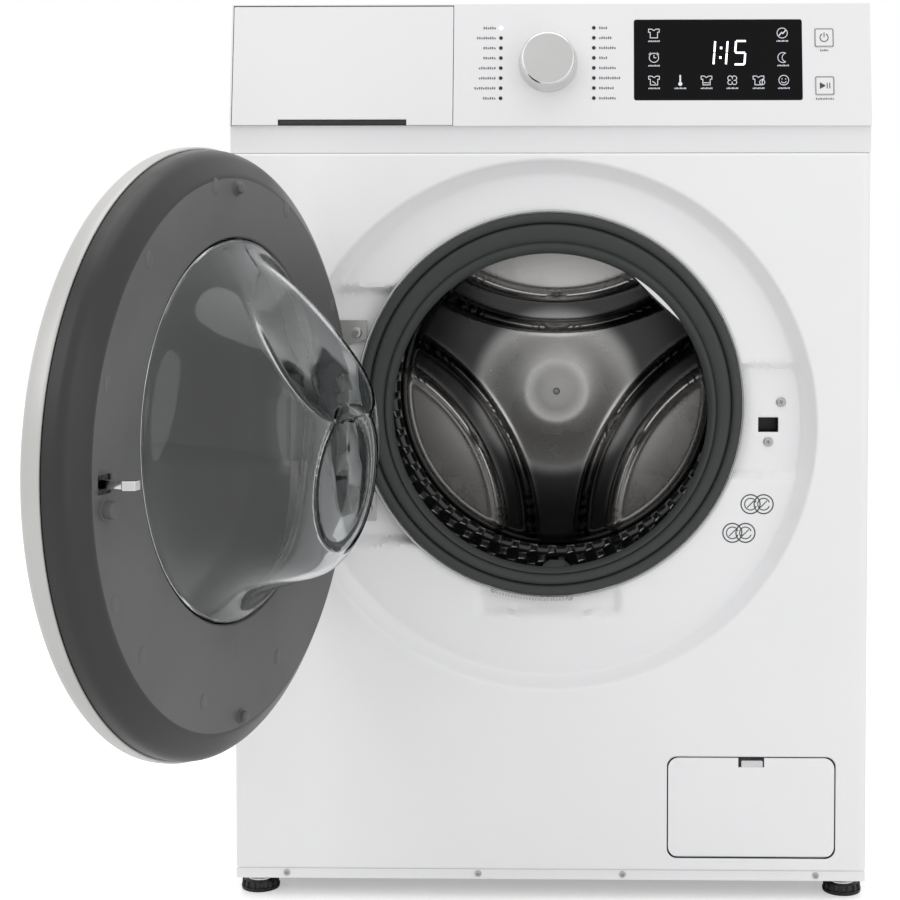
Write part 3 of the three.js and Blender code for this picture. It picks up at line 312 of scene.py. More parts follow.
    @classmethod
    def _edge_wear(cls) -> bpy.types.NodeTree:
        """Slightly rubbed outer corners."""
        tree, g, source, sink = cls._start("edge_wear", {"Amount": 0.3}, ("Mask",))
        point = g.add("NewGeometry").outputs["Pointiness"]
        cloud = g.add("TexNoise", Vector=source.outputs["Vector"], Scale=120.0, Detail=3.0)
        corner = g.spread(point, 0.53, 0.62, 0.0, source.outputs["Amount"])
        g.feed(sink.inputs["Mask"], g.product(corner, cloud.outputs["Fac"]))
        return tree


def made_once(name: str,
              paint: Callable[[Graph, bpy.types.Node, bpy.types.NodeSocket],
                              None]) -> bpy.types.Material:
    """Return a material by name, making it the first time.

    Args:
        name: The material's name.
        paint: Adds the nodes, given the node writer, the shader and the position on the object.

    Returns:
        The material.
    """
    found = bpy.data.materials.get(name)
    if found:
        return found
    made = bpy.data.materials.new(name)
    made.use_nodes = True
    g = Graph(made.node_tree)
    paint(g, made.node_tree.nodes["Principled BSDF"], g.add("TexCoord").outputs["Object"])
    return made


def opaque(colour: Point, factor: float = 1.0, lift: float = 0.0) -> tuple[float, float, float,
                                                                           float]:
    """A colour with full alpha, scaled and lifted, with no channel over 1."""
    red, green, blue = (min(1.0, c * factor + lift) for c in colour)
    return red, green, blue, 1.0


PATTERN_GROUPS = {Pattern.EVEN: "grain", Pattern.BRUSHED: "brushed", Pattern.SPUN: "spun"}
DUST_COLOUR = (0.62, 0.61, 0.59)
BUMP_DISTANCE = 0.0004


@dataclass(frozen=True)
class Finish:
    """A solid finish: its colour, gloss and fine marks."""

    name: str
    colour: Point
    roughness: float
    metallic: float = 0.0
    pattern: Pattern = Pattern.EVEN
    scale: float = 900.0
    depth: float = 0.02
    tone: float = 0.04
    wear: float = 0.15
    dust: float = 0.08
    coat: float = 0.0
    ior: float = 1.5
    centre: Point = (0.0, 0.0, 0.0)
    turn: Point = (0.0, 0.0, 0.0)
    mask: str = ""
    painted_shade_colour: Point = (0.02, 0.02, 0.02)
    mask_roughness: float = 0.3

    def material(self) -> bpy.types.Material:
        """Build the material, or return it if it is there."""
        made = made_once(self.name, self._paint)
        made.diffuse_color = opaque(self.colour)
        return made

    def _paint(self, g: Graph, shader: bpy.types.Node, place: bpy.types.NodeSocket) -> None:
        """Lay the marks, smudges, painted shade from the mask attribute, wear and dust over the colour, and set
        the shader.
        """
        centred = g.add("Mapping", {"vector_type": "TEXTURE"}, Vector=place, Location=self.centre,
                        Rotation=self.turn).outputs["Vector"]
        marks = Effects.place(g, PATTERN_GROUPS[self.pattern], Vector=centred, Scale=self.scale)
        smudge = Effects.place(g, "smudge", Vector=place, Scale=14.0)
        dust = Effects.place(g, "dust", Vector=place, Amount=self.dust)
        wear = Effects.place(g, "edge_wear", Vector=place, Amount=self.wear)
        darker = opaque(self.colour, 1.0 - self.tone * 2.5)
        lighter = opaque(self.colour, 1.25, 0.02)
        colour = g.blend(marks.outputs["Tone"], opaque(self.colour), darker)
        rougher = min(1.0, self.roughness * 1.1 + 0.01)
        rough = g.spread(smudge.outputs["Mask"], 0.0, 1.0, self.roughness, rougher)
        # Painted shade: where the mask attribute is set, the colour is darkened to the mask colour and the gloss
        # changes.
        if self.mask:
            share = g.add("Attribute", {"attribute_name": self.mask}).outputs["Fac"]
            colour = g.blend(share, colour, opaque(self.painted_shade_colour))
            rough = g.spread(share, 0.0, 1.0, rough, self.mask_roughness)
        colour = g.blend(wear.outputs["Mask"], colour, lighter)
        colour = g.blend(dust.outputs["Mask"], colour, opaque(DUST_COLOUR))
        g.feed(shader.inputs["Base Color"], colour)
        g.feed(shader.inputs["Roughness"], rough)
        shader.inputs["Metallic"].default_value = self.metallic
        shader.inputs["IOR"].default_value = self.ior
        shader.inputs["Coat Weight"].default_value = self.coat
        shader.inputs["Coat Roughness"].default_value = 0.08
        bump = g.add("Bump", Height=marks.outputs["Height"], Strength=self.depth,
                     Distance=BUMP_DISTANCE)
        g.feed(shader.inputs["Normal"], bump.outputs["Normal"])


@dataclass(frozen=True)
class GlassFinish:
    """Clear pressed glass with faint handling marks."""

    name: str = "pressed_glass"
    tint: Point = (0.93, 0.95, 0.955)
    roughness: float = 0.015

    def material(self) -> bpy.types.Material:
        """Build the material, or return it if it is there."""
        return made_once(self.name, self._paint)

    def _paint(self, g: Graph, shader: bpy.types.Node, place: bpy.types.NodeSocket) -> None:
        """Lay faint smudges and a slow ripple over clear glass."""
        smudge = Effects.place(g, "smudge", Vector=place, Scale=20.0).outputs["Mask"]
        ripple = g.add("TexNoise", Vector=place, Scale=22.0, Detail=1.0)
        tint = g.blend(smudge, opaque(self.tint), opaque(self.tint, 0.985))
        g.feed(shader.inputs["Base Color"], tint)
        rough = g.spread(smudge, 0.0, 1.0, self.roughness, self.roughness + 0.04)
        g.feed(shader.inputs["Roughness"], rough)
        shader.inputs["Transmission Weight"].default_value = 1.0
        shader.inputs["IOR"].default_value = 1.5
        bump = g.add("Bump", Height=ripple.outputs["Fac"], Strength=0.25, Distance=0.002)
        g.feed(shader.inputs["Normal"], bump.outputs["Normal"])


@dataclass(frozen=True)
class LampFinish:
    """A surface that glows: a lit mark, a lamp, or a floor that only the camera sees lit."""

    name: str
    colour: Point
    strength: float
    camera_only: bool = False

    def material(self) -> bpy.types.Material:
        """Build the material, or return it if it is there."""
        return made_once(self.name, self._paint)

    def _paint(self, g: Graph, shader: bpy.types.Node, place: bpy.types.NodeSocket) -> None:
        """Let the glow vary finely, and hide it from other rays where only the camera sees it."""
        marks = Effects.place(g, "grain", Vector=place, Scale=700.0)
        glow = g.blend(marks.outputs["Height"], opaque(self.colour), opaque(self.colour, 0.92))
        g.feed(shader.inputs["Base Color"], glow)
        if self.camera_only:
            seen = g.add("LightPath").outputs["Is Camera Ray"]
            glow = g.blend(seen, (0.0, 0.0, 0.0, 1.0), glow)
        g.feed(shader.inputs["Emission Color"], glow)
        shader.inputs["Emission Strength"].default_value = self.strength
        shader.inputs["Roughness"].default_value = 0.4


@dataclass(frozen=True)
class Palette:
    """Every finish of the machine."""

    paint: Finish = Finish("enamel_paint", (0.90, 0.90, 0.91), 0.32, scale=260.0, depth=0.05,
                           tone=0.006, coat=0.25,
                           wear=0.05, dust=0.05)
    shell: Finish = Finish("console_plastic", (0.84, 0.84, 0.85), 0.36, scale=1500.0, depth=0.03,
                           tone=0.006,
                           wear=0.05, dust=0.05)
    pale: Finish = Finish("pale_plastic", (0.64, 0.64, 0.65), 0.45, scale=700.0, depth=0.06)
    silver: Finish = Finish("silver_lacquer", (0.62, 0.615, 0.6), 0.34, metallic=0.25, scale=2200.0,
                            depth=0.04,
                            coat=0.3)
    grey: Finish = Finish("door_grey", (0.115, 0.115, 0.117), 0.46, scale=1100.0, depth=0.16,
                          tone=0.05, wear=0.1)
    # door_slope_painted_shade is door_grey plastic made darker: painted shade on the door's slope.
    slope: Finish = Finish("door_slope_painted_shade", (0.024, 0.024, 0.025), 0.32, scale=1100.0, depth=0.14,
                           tone=0.05, wear=0.1)
    # painted_shade_black is painted shade: near black on the door's rounded band and on the block in the drawer's
    # finger slot.
    shade_black: Finish = Finish("painted_shade_black", (0.02, 0.02, 0.021), 0.42, scale=1100.0, depth=0.1)
    black: Finish = Finish("black_plastic", (0.012, 0.012, 0.012), 0.42, scale=900.0, depth=0.12)
    screen: Finish = Finish("display_window", (0.003, 0.003, 0.0035), 0.12, scale=500.0, depth=0.0,
                            ior=1.22,
                            wear=0.0, dust=0.0)
    smoked: Finish = Finish("smoked_cover", (0.012, 0.012, 0.014), 0.06, depth=0.0, coat=0.8,
                            wear=0.0, dust=0.04)
    rubber: Finish = Finish("gasket_rubber", (0.013, 0.013, 0.0148), 0.4, scale=650.0, depth=0.1,
                            tone=0.1, dust=0.0,
                            ior=1.42)
    hose: Finish = Finish("hose_rubber", (0.02, 0.02, 0.02), 0.6, scale=500.0, depth=0.2)
    mirror: Finish = Finish("chromed_edge", (0.78, 0.78, 0.78), 0.08, metallic=1.0, depth=0.0,
                            tone=0.02)
    steel: Finish = Finish("drum_steel", (0.50, 0.49, 0.48), 0.24, metallic=1.0,
                           pattern=Pattern.BRUSHED, scale=700.0,
                           depth=0.05, tone=0.08)
    hardware: Finish = Finish("hardware_steel", (0.42, 0.42, 0.415), 0.36, metallic=1.0,
                              pattern=Pattern.BRUSHED,
                              scale=600.0, depth=0.08, tone=0.08)
    zinc: Finish = Finish("zinc_sheet", (0.38, 0.385, 0.385), 0.42, metallic=0.85, scale=120.0,
                          depth=0.04, tone=0.1)
    cast: Finish = Finish("cast_aluminium", (0.42, 0.43, 0.43), 0.5, metallic=1.0, scale=420.0,
                          depth=0.4, tone=0.1)
    iron: Finish = Finish("cast_weight", (0.09, 0.088, 0.085), 0.7, metallic=0.3, scale=260.0,
                          depth=0.5, tone=0.12)
    board: Finish = Finish("circuit_board", (0.02, 0.09, 0.04), 0.45, scale=400.0, depth=0.2,
                           tone=0.2)
    print_grey: Finish = Finish("printed_grey", (0.06, 0.06, 0.065), 0.5, depth=0.02, wear=0.0)
    print_pale: Finish = Finish("printed_pale", (0.11, 0.11, 0.12), 0.5, depth=0.02, wear=0.0)
    plug: Finish = Finish("plug_grey", (0.125, 0.125, 0.128), 0.5, scale=1100.0, depth=0.1)
    # pressed_steel takes painted shade from the drum back's mask layer: a near-black colour on the shaded parts.
    pressed: Finish = Finish("pressed_steel", (0.70, 0.69, 0.68), 0.27, metallic=1.0,
                             pattern=Pattern.BRUSHED,
                             scale=900.0, depth=0.03, tone=0.015, mask="painted_shade_field",
                             painted_shade_colour=(0.06, 0.06, 0.06), mask_roughness=0.22)
    glass: GlassFinish = GlassFinish()
    lit: LampFinish = LampFinish("lit_segment", (0.9, 0.93, 1.0), 1.6)
    icon: LampFinish = LampFinish("lit_icon", (0.62, 0.64, 0.68), 0.42)

    def by_slot(self) -> dict[str, Finish]:
        """The finish of each material slot in the record."""
        return {
            "paint": self.paint, "white_plastic": self.shell, "silver_plastic": self.silver,
            "grey_plastic": self.grey, "pale_plastic": self.pale, "black_plastic": self.black,
            "display_glass": self.screen, "smoked_cover": self.smoked, "bowl_glass": self.glass,
            "gasket_rubber": self.rubber, "hose_rubber": self.hose, "knob_metal": self.hardware,
            "stainless": self.steel, "hardware_steel": self.hardware, "zinc_plate": self.zinc,
            "cast_aluminium": self.cast, "cast_weight": self.iron, "circuit_board": self.board,
        }


palette = Palette()


# ---------------------------------------------------------------- shaping


def outward(bm: bmesh.types.BMesh, doubles: float = 0.001) -> None:
    """Merge doubles, then turn the faces outwards."""
    bmesh.ops.remove_doubles(bm, verts=bm.verts, dist=doubles)
    bmesh.ops.recalc_face_normals(bm, faces=bm.faces)


def face_along(bm: bmesh.types.BMesh, probe: bmesh.types.BMFace, sign: int) -> None:
    """Turn all faces over if a probe face doesn't look towards +Y (sign 1) or -Y (sign -1)."""
    if probe.normal.y * sign < 0:
        bmesh.ops.reverse_faces(bm, faces=bm.faces)


def bevel(bm: bmesh.types.BMesh, geometry: list, width: float, segments: int, affect: str = "EDGES",
          clamp: bool = False) -> None:
    """Bevel edges or corners.

    Args:
        bm: The mesh.
        geometry: The edges or vertices.
        width: The bevel's width.
        segments: The bevel's segments.
        affect: EDGES or VERTICES.
        clamp: Whether bevels stop where they would meet.
    """
    bmesh.ops.bevel(bm, geom=geometry, offset=width, offset_type="OFFSET", affect=affect,
                    segments=segments,
                    profile=0.5, material=-1, clamp_overlap=clamp)


def lathe(bm: bmesh.types.BMesh, path: Path, steps: int = 96, x: float = 0.0, z: float = 0.0,
          closed: bool = False) -> list[bmesh.types.BMVert]:
    """Spin a path of [radius, y] pairs about a line along Y.

    Args:
        bm: The mesh that receives the shape.
        path: The profile.
        steps: Number of steps round.
        x: The axis's sideways place.
        z: The axis's height.
        closed: Whether the profile is joined to its start.

    Returns:
        The vertices that were made.
    """
    before = set(bm.verts)
    verts = [bm.verts.new((x + r, y, z)) for r, y in path]
    edges = [bm.edges.new(pair) for pair in zip(verts, verts[1:])]
    if closed:
        edges.append(bm.edges.new((verts[-1], verts[0])))
    bmesh.ops.spin(bm, geom=verts + edges, cent=(x, 0, z), axis=(0, 1, 0), angle=2 * math.pi,
                   steps=steps,
                   use_merge=True)
    made = [v for v in bm.verts if v not in before]
    bmesh.ops.remove_doubles(bm, verts=made, dist=0.001)
    return [v for v in bm.verts if v not in before]


def bands(bm: bmesh.types.BMesh, paths: Sequence[Path], steps: int, x: float, z: float,
          indices: Sequence[int]) -> None:
    """Spin several paths and give each its own material index.

    Args:
        bm: The mesh that receives them.
        paths: The profiles, as for lathe.
        steps: Number of steps round.
        x: The axis's sideways place.
        z: The axis's height.
        indices: The material index of each path.
    """
    for index, path in zip(indices, paths):
        before = set(bm.faces)
        lathe(bm, path, steps, x, z)
        for f in set(bm.faces) - before:
            f.material_index = index
    outward(bm)


def wall(path: Path, thickness: float) -> list[tuple[float, float]]:
    """The closed profile of a wall of even thickness along an open path.

    Args:
        path: The middle line as [radius, y] pairs.
        thickness: The wall's thickness.

    Returns:
        The profile's points, in order.
    """
    sides: list[list[tuple[float, float]]] = [[], []]
    for i, (r, y) in enumerate(path):
        (r0, y0), (r1, y1) = path[max(i - 1, 0)], path[min(i + 1, len(path) - 1)]
        length = math.hypot(r1 - r0, y1 - y0)
        dr, dy = (y1 - y0) / length * thickness / 2, (r1 - r0) / length * thickness / 2
        sides[0].append((r + dr, y - dy))
        sides[1].append((r - dr, y + dy))
    return sides[0] + sides[1][::-1]


def smoothed(path: Path, rounds: int = 2) -> list[tuple[float, float]]:
    """Round the corners of an open path by cutting them a few times."""
    points = list(path)
    for _ in range(rounds):
        cut = [points[0]]
        for (r0, y0), (r1, y1) in zip(points, points[1:]):
            cut += [(0.75 * r0 + 0.25 * r1, 0.75 * y0 + 0.25 * y1),
                    (0.25 * r0 + 0.75 * r1, 0.25 * y0 + 0.75 * y1)]
        points = cut + [points[-1]]
    return points


def block(bm: bmesh.types.BMesh, low: Point, high: Point, round_y: float = 0.0,
          segments: int = 5) -> list:
    """Add a box between two corners.

    Args:
        bm: The mesh that receives it.
        low: The lowest corner.
        high: The highest corner.
        round_y: Radius of the four edges that run along Y.
        segments: Segments of that radius.

    Returns:
        The vertices that were made.
    """
    before = set(bm.verts)
    size = Vector(high) - Vector(low)
    middle = (Vector(high) + Vector(low)) / 2
    bmesh.ops.create_cube(bm, size=1.0,
                          matrix=Matrix.Translation(middle) @ Matrix.Diagonal((*size, 1.0)))
    made = [v for v in bm.verts if v not in before]
    if round_y:
        along = [e for e in {e for v in made for e in v.link_edges}
                 if abs(e.verts[0].co.y - e.verts[1].co.y) > size.y / 2]
        bevel(bm, along, round_y, segments)
    return [v for v in bm.verts if v not in before]


def disc(bm: bmesh.types.BMesh, x: float, z: float, radius: float, y0: float, y1: float,
         segments: int) -> None:
    """Add a round bar along Y."""
    place = Matrix.Translation((x, (y0 + y1) / 2, z)) @ Matrix.Rotation(math.pi / 2, 4, "X")
    bmesh.ops.create_cone(bm, cap_ends=True, cap_tris=False, segments=segments, radius1=radius,
                          radius2=radius,
                          depth=abs(y1 - y0), matrix=place)


def post(bm: bmesh.types.BMesh, x: float, y: float, z0: float, z1: float, lower: float,
         upper: float,
         segments: int) -> None:
    """Add an upright round post or cone."""
    place = Matrix.Translation((x, y, (z0 + z1) / 2))
    bmesh.ops.create_cone(bm, cap_ends=True, cap_tris=False, segments=segments, radius1=lower,
                          radius2=upper,
                          depth=z1 - z0, matrix=place)


def soften(bm: bmesh.types.BMesh, width: float, segments: int = 2, angle: float = 28.0) -> None:
    """Bevel every edge sharper than an angle.

    Args:
        bm: The mesh.
        width: The bevel's width.
        segments: The bevel's segments.
        angle: The least angle between faces, in degrees.
    """
    sharp = [e for e in bm.edges if len(e.link_faces) == 2
             and e.calc_face_angle(0.0) > math.radians(angle)]
    bevel(bm, sharp, width, segments, clamp=True)


def stroke(bm: bmesh.types.BMesh, points: Sequence[tuple[float, float]], width: float, y: float,
           thickness: float = 0.25, closed: bool = False) -> None:
    """Draw a thin flat line through points in X and Z.

    Args:
        bm: The mesh that receives it.
        points: The line's points.
        width: The line's width.
        y: The line's outer face.
        thickness: How thick it stands.
        closed: Whether the line returns to its start.
    """
    ends = list(points) + ([points[0]] if closed else [])
    for (x0, z0), (x1, z1) in zip(ends, ends[1:]):
        length = math.hypot(x1 - x0, z1 - z0) + width * 0.6
        turn = Matrix.Rotation(-math.atan2(z1 - z0, x1 - x0), 4, "Y")
        place = Matrix.Translation(((x0 + x1) / 2, y + thickness / 2, (z0 + z1) / 2))
        bmesh.ops.create_cube(bm, size=1.0,
                              matrix=place @ turn @ Matrix.Diagonal((length, thickness, width,
                                                                     1.0)))


def arc(x: float, z: float, radius: float, start: float, end: float,
        count: int = 16) -> list[tuple[float, float]]:
    """Points along an arc, with its angles in degrees."""
    turns = [math.radians(start + (end - start) * i / count) for i in range(count + 1)]
    return [(x + radius * math.cos(t), z + radius * math.sin(t)) for t in turns]


def cut_rectangle(bm: bmesh.types.BMesh, low: tuple[float, float],
                  high: tuple[float, float]) -> None:
    """Cut a rectangle in X and Z out of the faces near it.

    Args:
        bm: The mesh.
        low: Left and bottom.
        high: Right and top.
    """
    margin = 14.0

    def near() -> list[bmesh.types.BMFace]:
        """Faces with a corner in or close to the rectangle."""
        return [f for f in bm.faces
                if any(low[0] - margin < v.co.x < high[0] + margin
                       and low[1] - margin < v.co.z < high[1] + margin for v in f.verts)]

    planes = (((low[0], 0, 0), (1, 0, 0)), ((high[0], 0, 0), (1, 0, 0)),
              ((0, 0, low[1]), (0, 0, 1)), ((0, 0, high[1]), (0, 0, 1)))
    for point, normal in planes:
        faces = near()
        geometry = faces + list({e for f in faces for e in f.edges}) + list({v for f in faces
                                                                             for v in f.verts})
        bmesh.ops.bisect_plane(bm, geom=geometry, dist=0.0001, plane_co=point, plane_no=normal)
    middles = {f: f.calc_center_median() for f in near()}
    inside = [f for f, middle in middles.items()
              if low[0] < middle.x < high[0] and low[1] < middle.z < high[1]]
    bmesh.ops.delete(bm, geom=inside, context="FACES")


def settle(name: str, bm: bmesh.types.BMesh, body: str, finishes: Sequence[object],
           place: Matrix,
           replaces: Sequence[str] = (), smooth: float = 32.0) -> bpy.types.Object:
    """Turn a finished mesh into a piece that rides on a body.

    Args:
        name: The piece's name.
        bm: The mesh, in millimetres of its own place.
        body: The body that it rides on, or nothing for a piece that rides on no body.
        finishes: Its finishes, in order of material index.
        place: The matrix into the row frame.
        replaces: CAD nodes that it stands for.
        smooth: Faces that meet at less than this many degrees are shaded smooth.

    Returns:
        The piece.
    """
    bm.transform(place)
    mesh = bpy.data.meshes.new(name)
    bm.to_mesh(mesh)
    bm.free()
    for finish in finishes:
        mesh.materials.append(finish.material())
    mesh.polygons.foreach_set("use_smooth", [True] * len(mesh.polygons))
    mesh.set_sharp_from_angle(angle=math.radians(smooth))
    piece = bpy.data.objects.new(name, mesh)
    bpy.context.scene.collection.objects.link(piece)
    if body:
        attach(piece, body)
    if replaces:
        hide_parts(*replaces)
    log.info("%s: %d faces", name, len(mesh.polygons))
    return piece


def thicken(piece: bpy.types.Object, thickness: float) -> None:
    """Give an open skin its wall, inwards, in millimetres."""
    skin = piece.modifiers.new("wall", "SOLIDIFY")
    skin.thickness = thickness * MM
    skin.offset = -1.0


def refined(node: str, name: str, body: str, finish: Finish, width: float = 0.8,
            segments: int = 2) -> bpy.types.Object:
    """Copy a CAD node, merge its loose triangles and round its edges.

    Args:
        node: The CAD node.
        name: The new piece's name.
        body: The body that it rides on.
        finish: Its finish.
        width: The radius of its edges, in millimetres.
        segments: Segments of that radius.

    Returns:
        The piece.
    """
    bm = bmesh.new()
    bm.from_mesh(frame["nodes"][node].data)
    bmesh.ops.remove_doubles(bm, verts=bm.verts, dist=0.00001)
    bmesh.ops.dissolve_limit(bm, angle_limit=math.radians(0.6), verts=bm.verts, edges=bm.edges)
    piece = settle(name, bm, body, [finish], Matrix.Identity(4), [node], smooth=26.0)
    edge = piece.modifiers.new("edges", "BEVEL")
    edge.width = width * MM
    edge.segments = segments
    edge.limit_method = "ANGLE"
    edge.angle_limit = math.radians(28.0)
    edge.use_clamp_overlap = True
    edge.harden_normals = True
    return piece


def screw_head(bm: bmesh.types.BMesh, x: float, y: float, z: float, radius: float, height: float,
               slot_turn: float = 0.4) -> None:
    """Add a pan head that faces the front, with a cross recess.

    Args:
        bm: The mesh that receives it.
        x: Sideways place.
        y: The face that it sits on.
        z: Height.
        radius: The head's radius.
        height: How far it stands out.
        slot_turn: The turn of its cross, in radians.
    """
    profile = [(radius, y), (radius, y - height * 0.45), (radius * 0.8, y - height * 0.85),
               (radius * 0.42, y - height),
               (radius * 0.36, y - height * 0.55), (0, y - height * 0.5)]
    lathe(bm, profile, 16, x, z)
    for extra in (0.0, math.pi / 2):
        turn = Matrix.Rotation(slot_turn + extra, 4, "Y")
        place = Matrix.Translation((x, y - height * 0.97, z)) @ turn
        bmesh.ops.create_cube(bm, size=1.0,
                              matrix=place @ Matrix.Diagonal((radius * 1.1, height * 0.12,
                                                              radius * 0.24, 1.0)))


def ease(value: float, low: float, high: float) -> float:
    """A smooth step from 0 at low to 1 at high."""
    t = min(1.0, max(0.0, (value - low) / (high - low)))
    return t * t * (3 - 2 * t)


def between(value: float, low: float, high: float, soft: float) -> float:
    """1 between low and high and 0 outside, with steps twice soft wide."""
    return ease(value, low - soft, low + soft) * (1 - ease(value, high - soft, high + soft))


def extruded(bm: bmesh.types.BMesh, edges: list) -> tuple[list, set]:
    """Extrude an open row of edges in place.

    Args:
        bm: The mesh.
        edges: The edges.

    Returns:
        The new edges and their vertices.
    """
    made = bmesh.ops.extrude_edge_only(bm, edges=edges)["geom"]
    fresh = [g for g in made if isinstance(g, bmesh.types.BMEdge)]
    return fresh, {v for e in fresh for v in e.verts}


# ---------------------------------------------------------------- cabinet


@dataclass
class Cabinet:
    """The painted housing with its pressed front, worktop, plinth, feet and back."""

    half: float = 299.0
    bottom: float = 28.0
    top: float = 704.4
    corner: float = 9.0
    fold: float = 14.0
    recess_z: float = 449.0
    recess_radius: float = 250.5
    floor_radius: float = 237.5
    floor_depth: float = 20.0
    gasket_z: float = 468.0
    hole_radius: float = 176.0
    hinge_depth: float = 30.0
    hinge_pocket: tuple[float, float] = (-112.0, 128.6)
    lock_depth: float = 26.0
    lock_pocket: tuple[float, float] = (-47.6, 56.6)
    lock_opening: tuple = ((197.5, 442.0), (216.5, 456.0))
    spring_pocket: float = 5.0
    flap_opening: tuple[float, float, float, float] = (109.4, 270.8, 38.5, 138.5)
    flap_corner: float = 10.0
    flap_inset: float = 1.2
    step: float = 3.0
    sheet: float = 1.2
    border: float = 2.0
    lip: float = 2.4
    round_steps: int = 7

    def build(self) -> None:
        """Make and dress every cabinet piece."""
        self.front_skin()
        self.lock_and_hinge()
        self.plain_parts()
        self.side_skins()
        self.back_details()
        self.feet()
        log.info("cabinet done")

    def depth_at(self, x: float, z: float) -> float:
        """How deep the pressed front lies at a point.

        Args:
            x: Sideways place.
            z: Height.

        Returns:
            The depth behind the front face.
        """
        rise = z - self.recess_z
        reach = math.hypot(x, rise)
        depth = self.floor_depth
        pocket, deeper = (self.hinge_pocket, self.hinge_depth) if x < 0 else (self.lock_pocket,
                                                                              self.lock_depth)
        depth += (deeper - depth) * between(rise, *pocket, self.step)
        under = between(x, -67, 65, self.step) * ease(z, 267, 271) * (1 - ease(z, 292, 298))
        depth += self.spring_pocket * under
        return depth * (1 - ease(reach, self.floor_radius - 1, self.recess_radius + 1))

    def front_skin(self) -> None:
        """The pressed front: a polar net for the recess inside a flat sheet with folded sides."""
        bm = bmesh.new()
        radii = [self.hole_radius, 179, 182, 186, 190] + [193 + 3.2 * i for i in range(13)]
        radii += [234.5, 237, 239, 241.2, 243.4, 245.6, 247.8, 249.6, 251.0, 252.4]
        lathe(bm, [(r, 0) for r in radii], 320, 0, self.recess_z)
        for v in bm.verts:
            reach = math.hypot(v.co.x, v.co.z - self.recess_z)
            v.co.z += (self.gasket_z - self.recess_z) * (1 - ease(reach, 184, 228))
            v.co.y = self.depth_at(v.co.x, v.co.z)
        ring = [e for e in bm.edges if e.is_boundary
                and all(math.hypot(v.co.x, v.co.z - self.recess_z) > 251.8 for v in e.verts)]
        edge_x = self.half - self.corner
        inner_x = edge_x - self.border
        frame_loop = self.loop(bm, -inner_x, inner_x, self.bottom + self.lip, self.top - self.lip,
                               0.0)
        flap_hole = self.loop(bm, *self.flap_opening, self.flap_corner)
        bmesh.ops.triangle_fill(bm, use_beauty=True, use_dissolve=True,
                                edges=ring + frame_loop + flap_hole,
                                normal=(0, -1, 0))
        left, right, low, high = self.flap_opening
        half_x, half_z = (right - left) / 2, (high - low) / 2
        middle_x, middle_z = left + half_x, low + half_z
        for v in extruded(bm, flap_hole)[1]:
            v.co.x = middle_x + (v.co.x - middle_x) * (1 - self.flap_inset / half_x)
            v.co.z = middle_z + (v.co.z - middle_z) * (1 - self.flap_inset / half_z)
        self.fold_sides(bm, edge_x)
        self.fold_ends(bm)
        cut_rectangle(bm, *self.lock_opening)
        bmesh.ops.recalc_face_normals(bm, faces=bm.faces)
        flat_spot = Vector((-280, 0))
        middles = {f: f.calc_center_median().xy - flat_spot for f in bm.faces}
        face_along(bm, min(middles, key=lambda f: abs(middles[f].x) + abs(middles[f].y)), -1)
        skin = settle("front_skin", bm, "cabinet", [palette.paint], datum.cabinet(),
                      ["front_panel"], 40.0)
        thicken(skin, self.sheet)

    @staticmethod
    def loop(bm: bmesh.types.BMesh, x0: float, x1: float, z0: float, z1: float, radius: float,
             per_corner: int = 7) -> list[bmesh.types.BMEdge]:
        """Add a rectangle of edges in the front plane, with round corners.

        Args:
            bm: The mesh that receives it.
            x0: Left.
            x1: Right.
            z0: Bottom.
            z1: Top.
            radius: Corner radius; 0 for square corners.
            per_corner: Points at each corner.

        Returns:
            The edges.
        """
        count = per_corner if radius else 1
        first = (math.pi / 4) / count
        face = Matrix.Rotation(math.pi / 2, 4, "X") @ Matrix.Rotation(first, 4, "Z")
        verts = bmesh.ops.create_circle(bm, cap_ends=False, radius=max(radius, 0.01),
                                        segments=4 * count,
                                        matrix=face)["verts"]
        middle = Vector(((x0 + x1) / 2, 0, (z0 + z1) / 2))
        for v in verts:
            v.co += middle + Vector((math.copysign((x1 - x0) / 2 - radius, v.co.x), 0,
                                     math.copysign((z1 - z0) / 2 - radius, v.co.z)))
        return list({e for v in verts for e in v.link_edges})

    def fold_sides(self, bm: bmesh.types.BMesh, edge_x: float) -> None:
        """Turn the left and right edges back round the corner radius."""
        for side in (-1, 1):
            start = side * (edge_x - self.border)
            edges = [e for e in bm.edges if e.is_boundary
                     and all(abs(v.co.x - start) < 0.05 for v in e.verts)]
            for k in range(self.round_steps + 2):
                edges, verts = extruded(bm, edges)
                turn = math.pi / 2 * min(k, self.round_steps) / self.round_steps
                deep = self.corner * (1 - math.cos(turn)) if k <= self.round_steps else self.fold
                for v in verts:
                    v.co.x = side * (edge_x + self.corner * math.sin(turn))
                    v.co.y = deep

    def fold_ends(self, bm: bmesh.types.BMesh) -> None:
        """Turn the top and bottom edges back with a small radius."""
        for side, level in ((-1, self.bottom + self.lip), (1, self.top - self.lip)):
            edges = [e for e in bm.edges if e.is_boundary
                     and all(abs(v.co.z - level) < 0.05 for v in e.verts)]
            for rise, inset in ((0.4, 0.0), (1.6, 0.4), (2.2, 1.1), (2.4, 2.0), (2.4, 12.0)):
                edges, verts = extruded(bm, edges)
                for v in verts:
                    v.co.z = level + side * rise
                    v.co.x = math.copysign(min(abs(v.co.x), self.half - inset * 0.3), v.co.x)
                    v.co.y = max(v.co.y, inset)

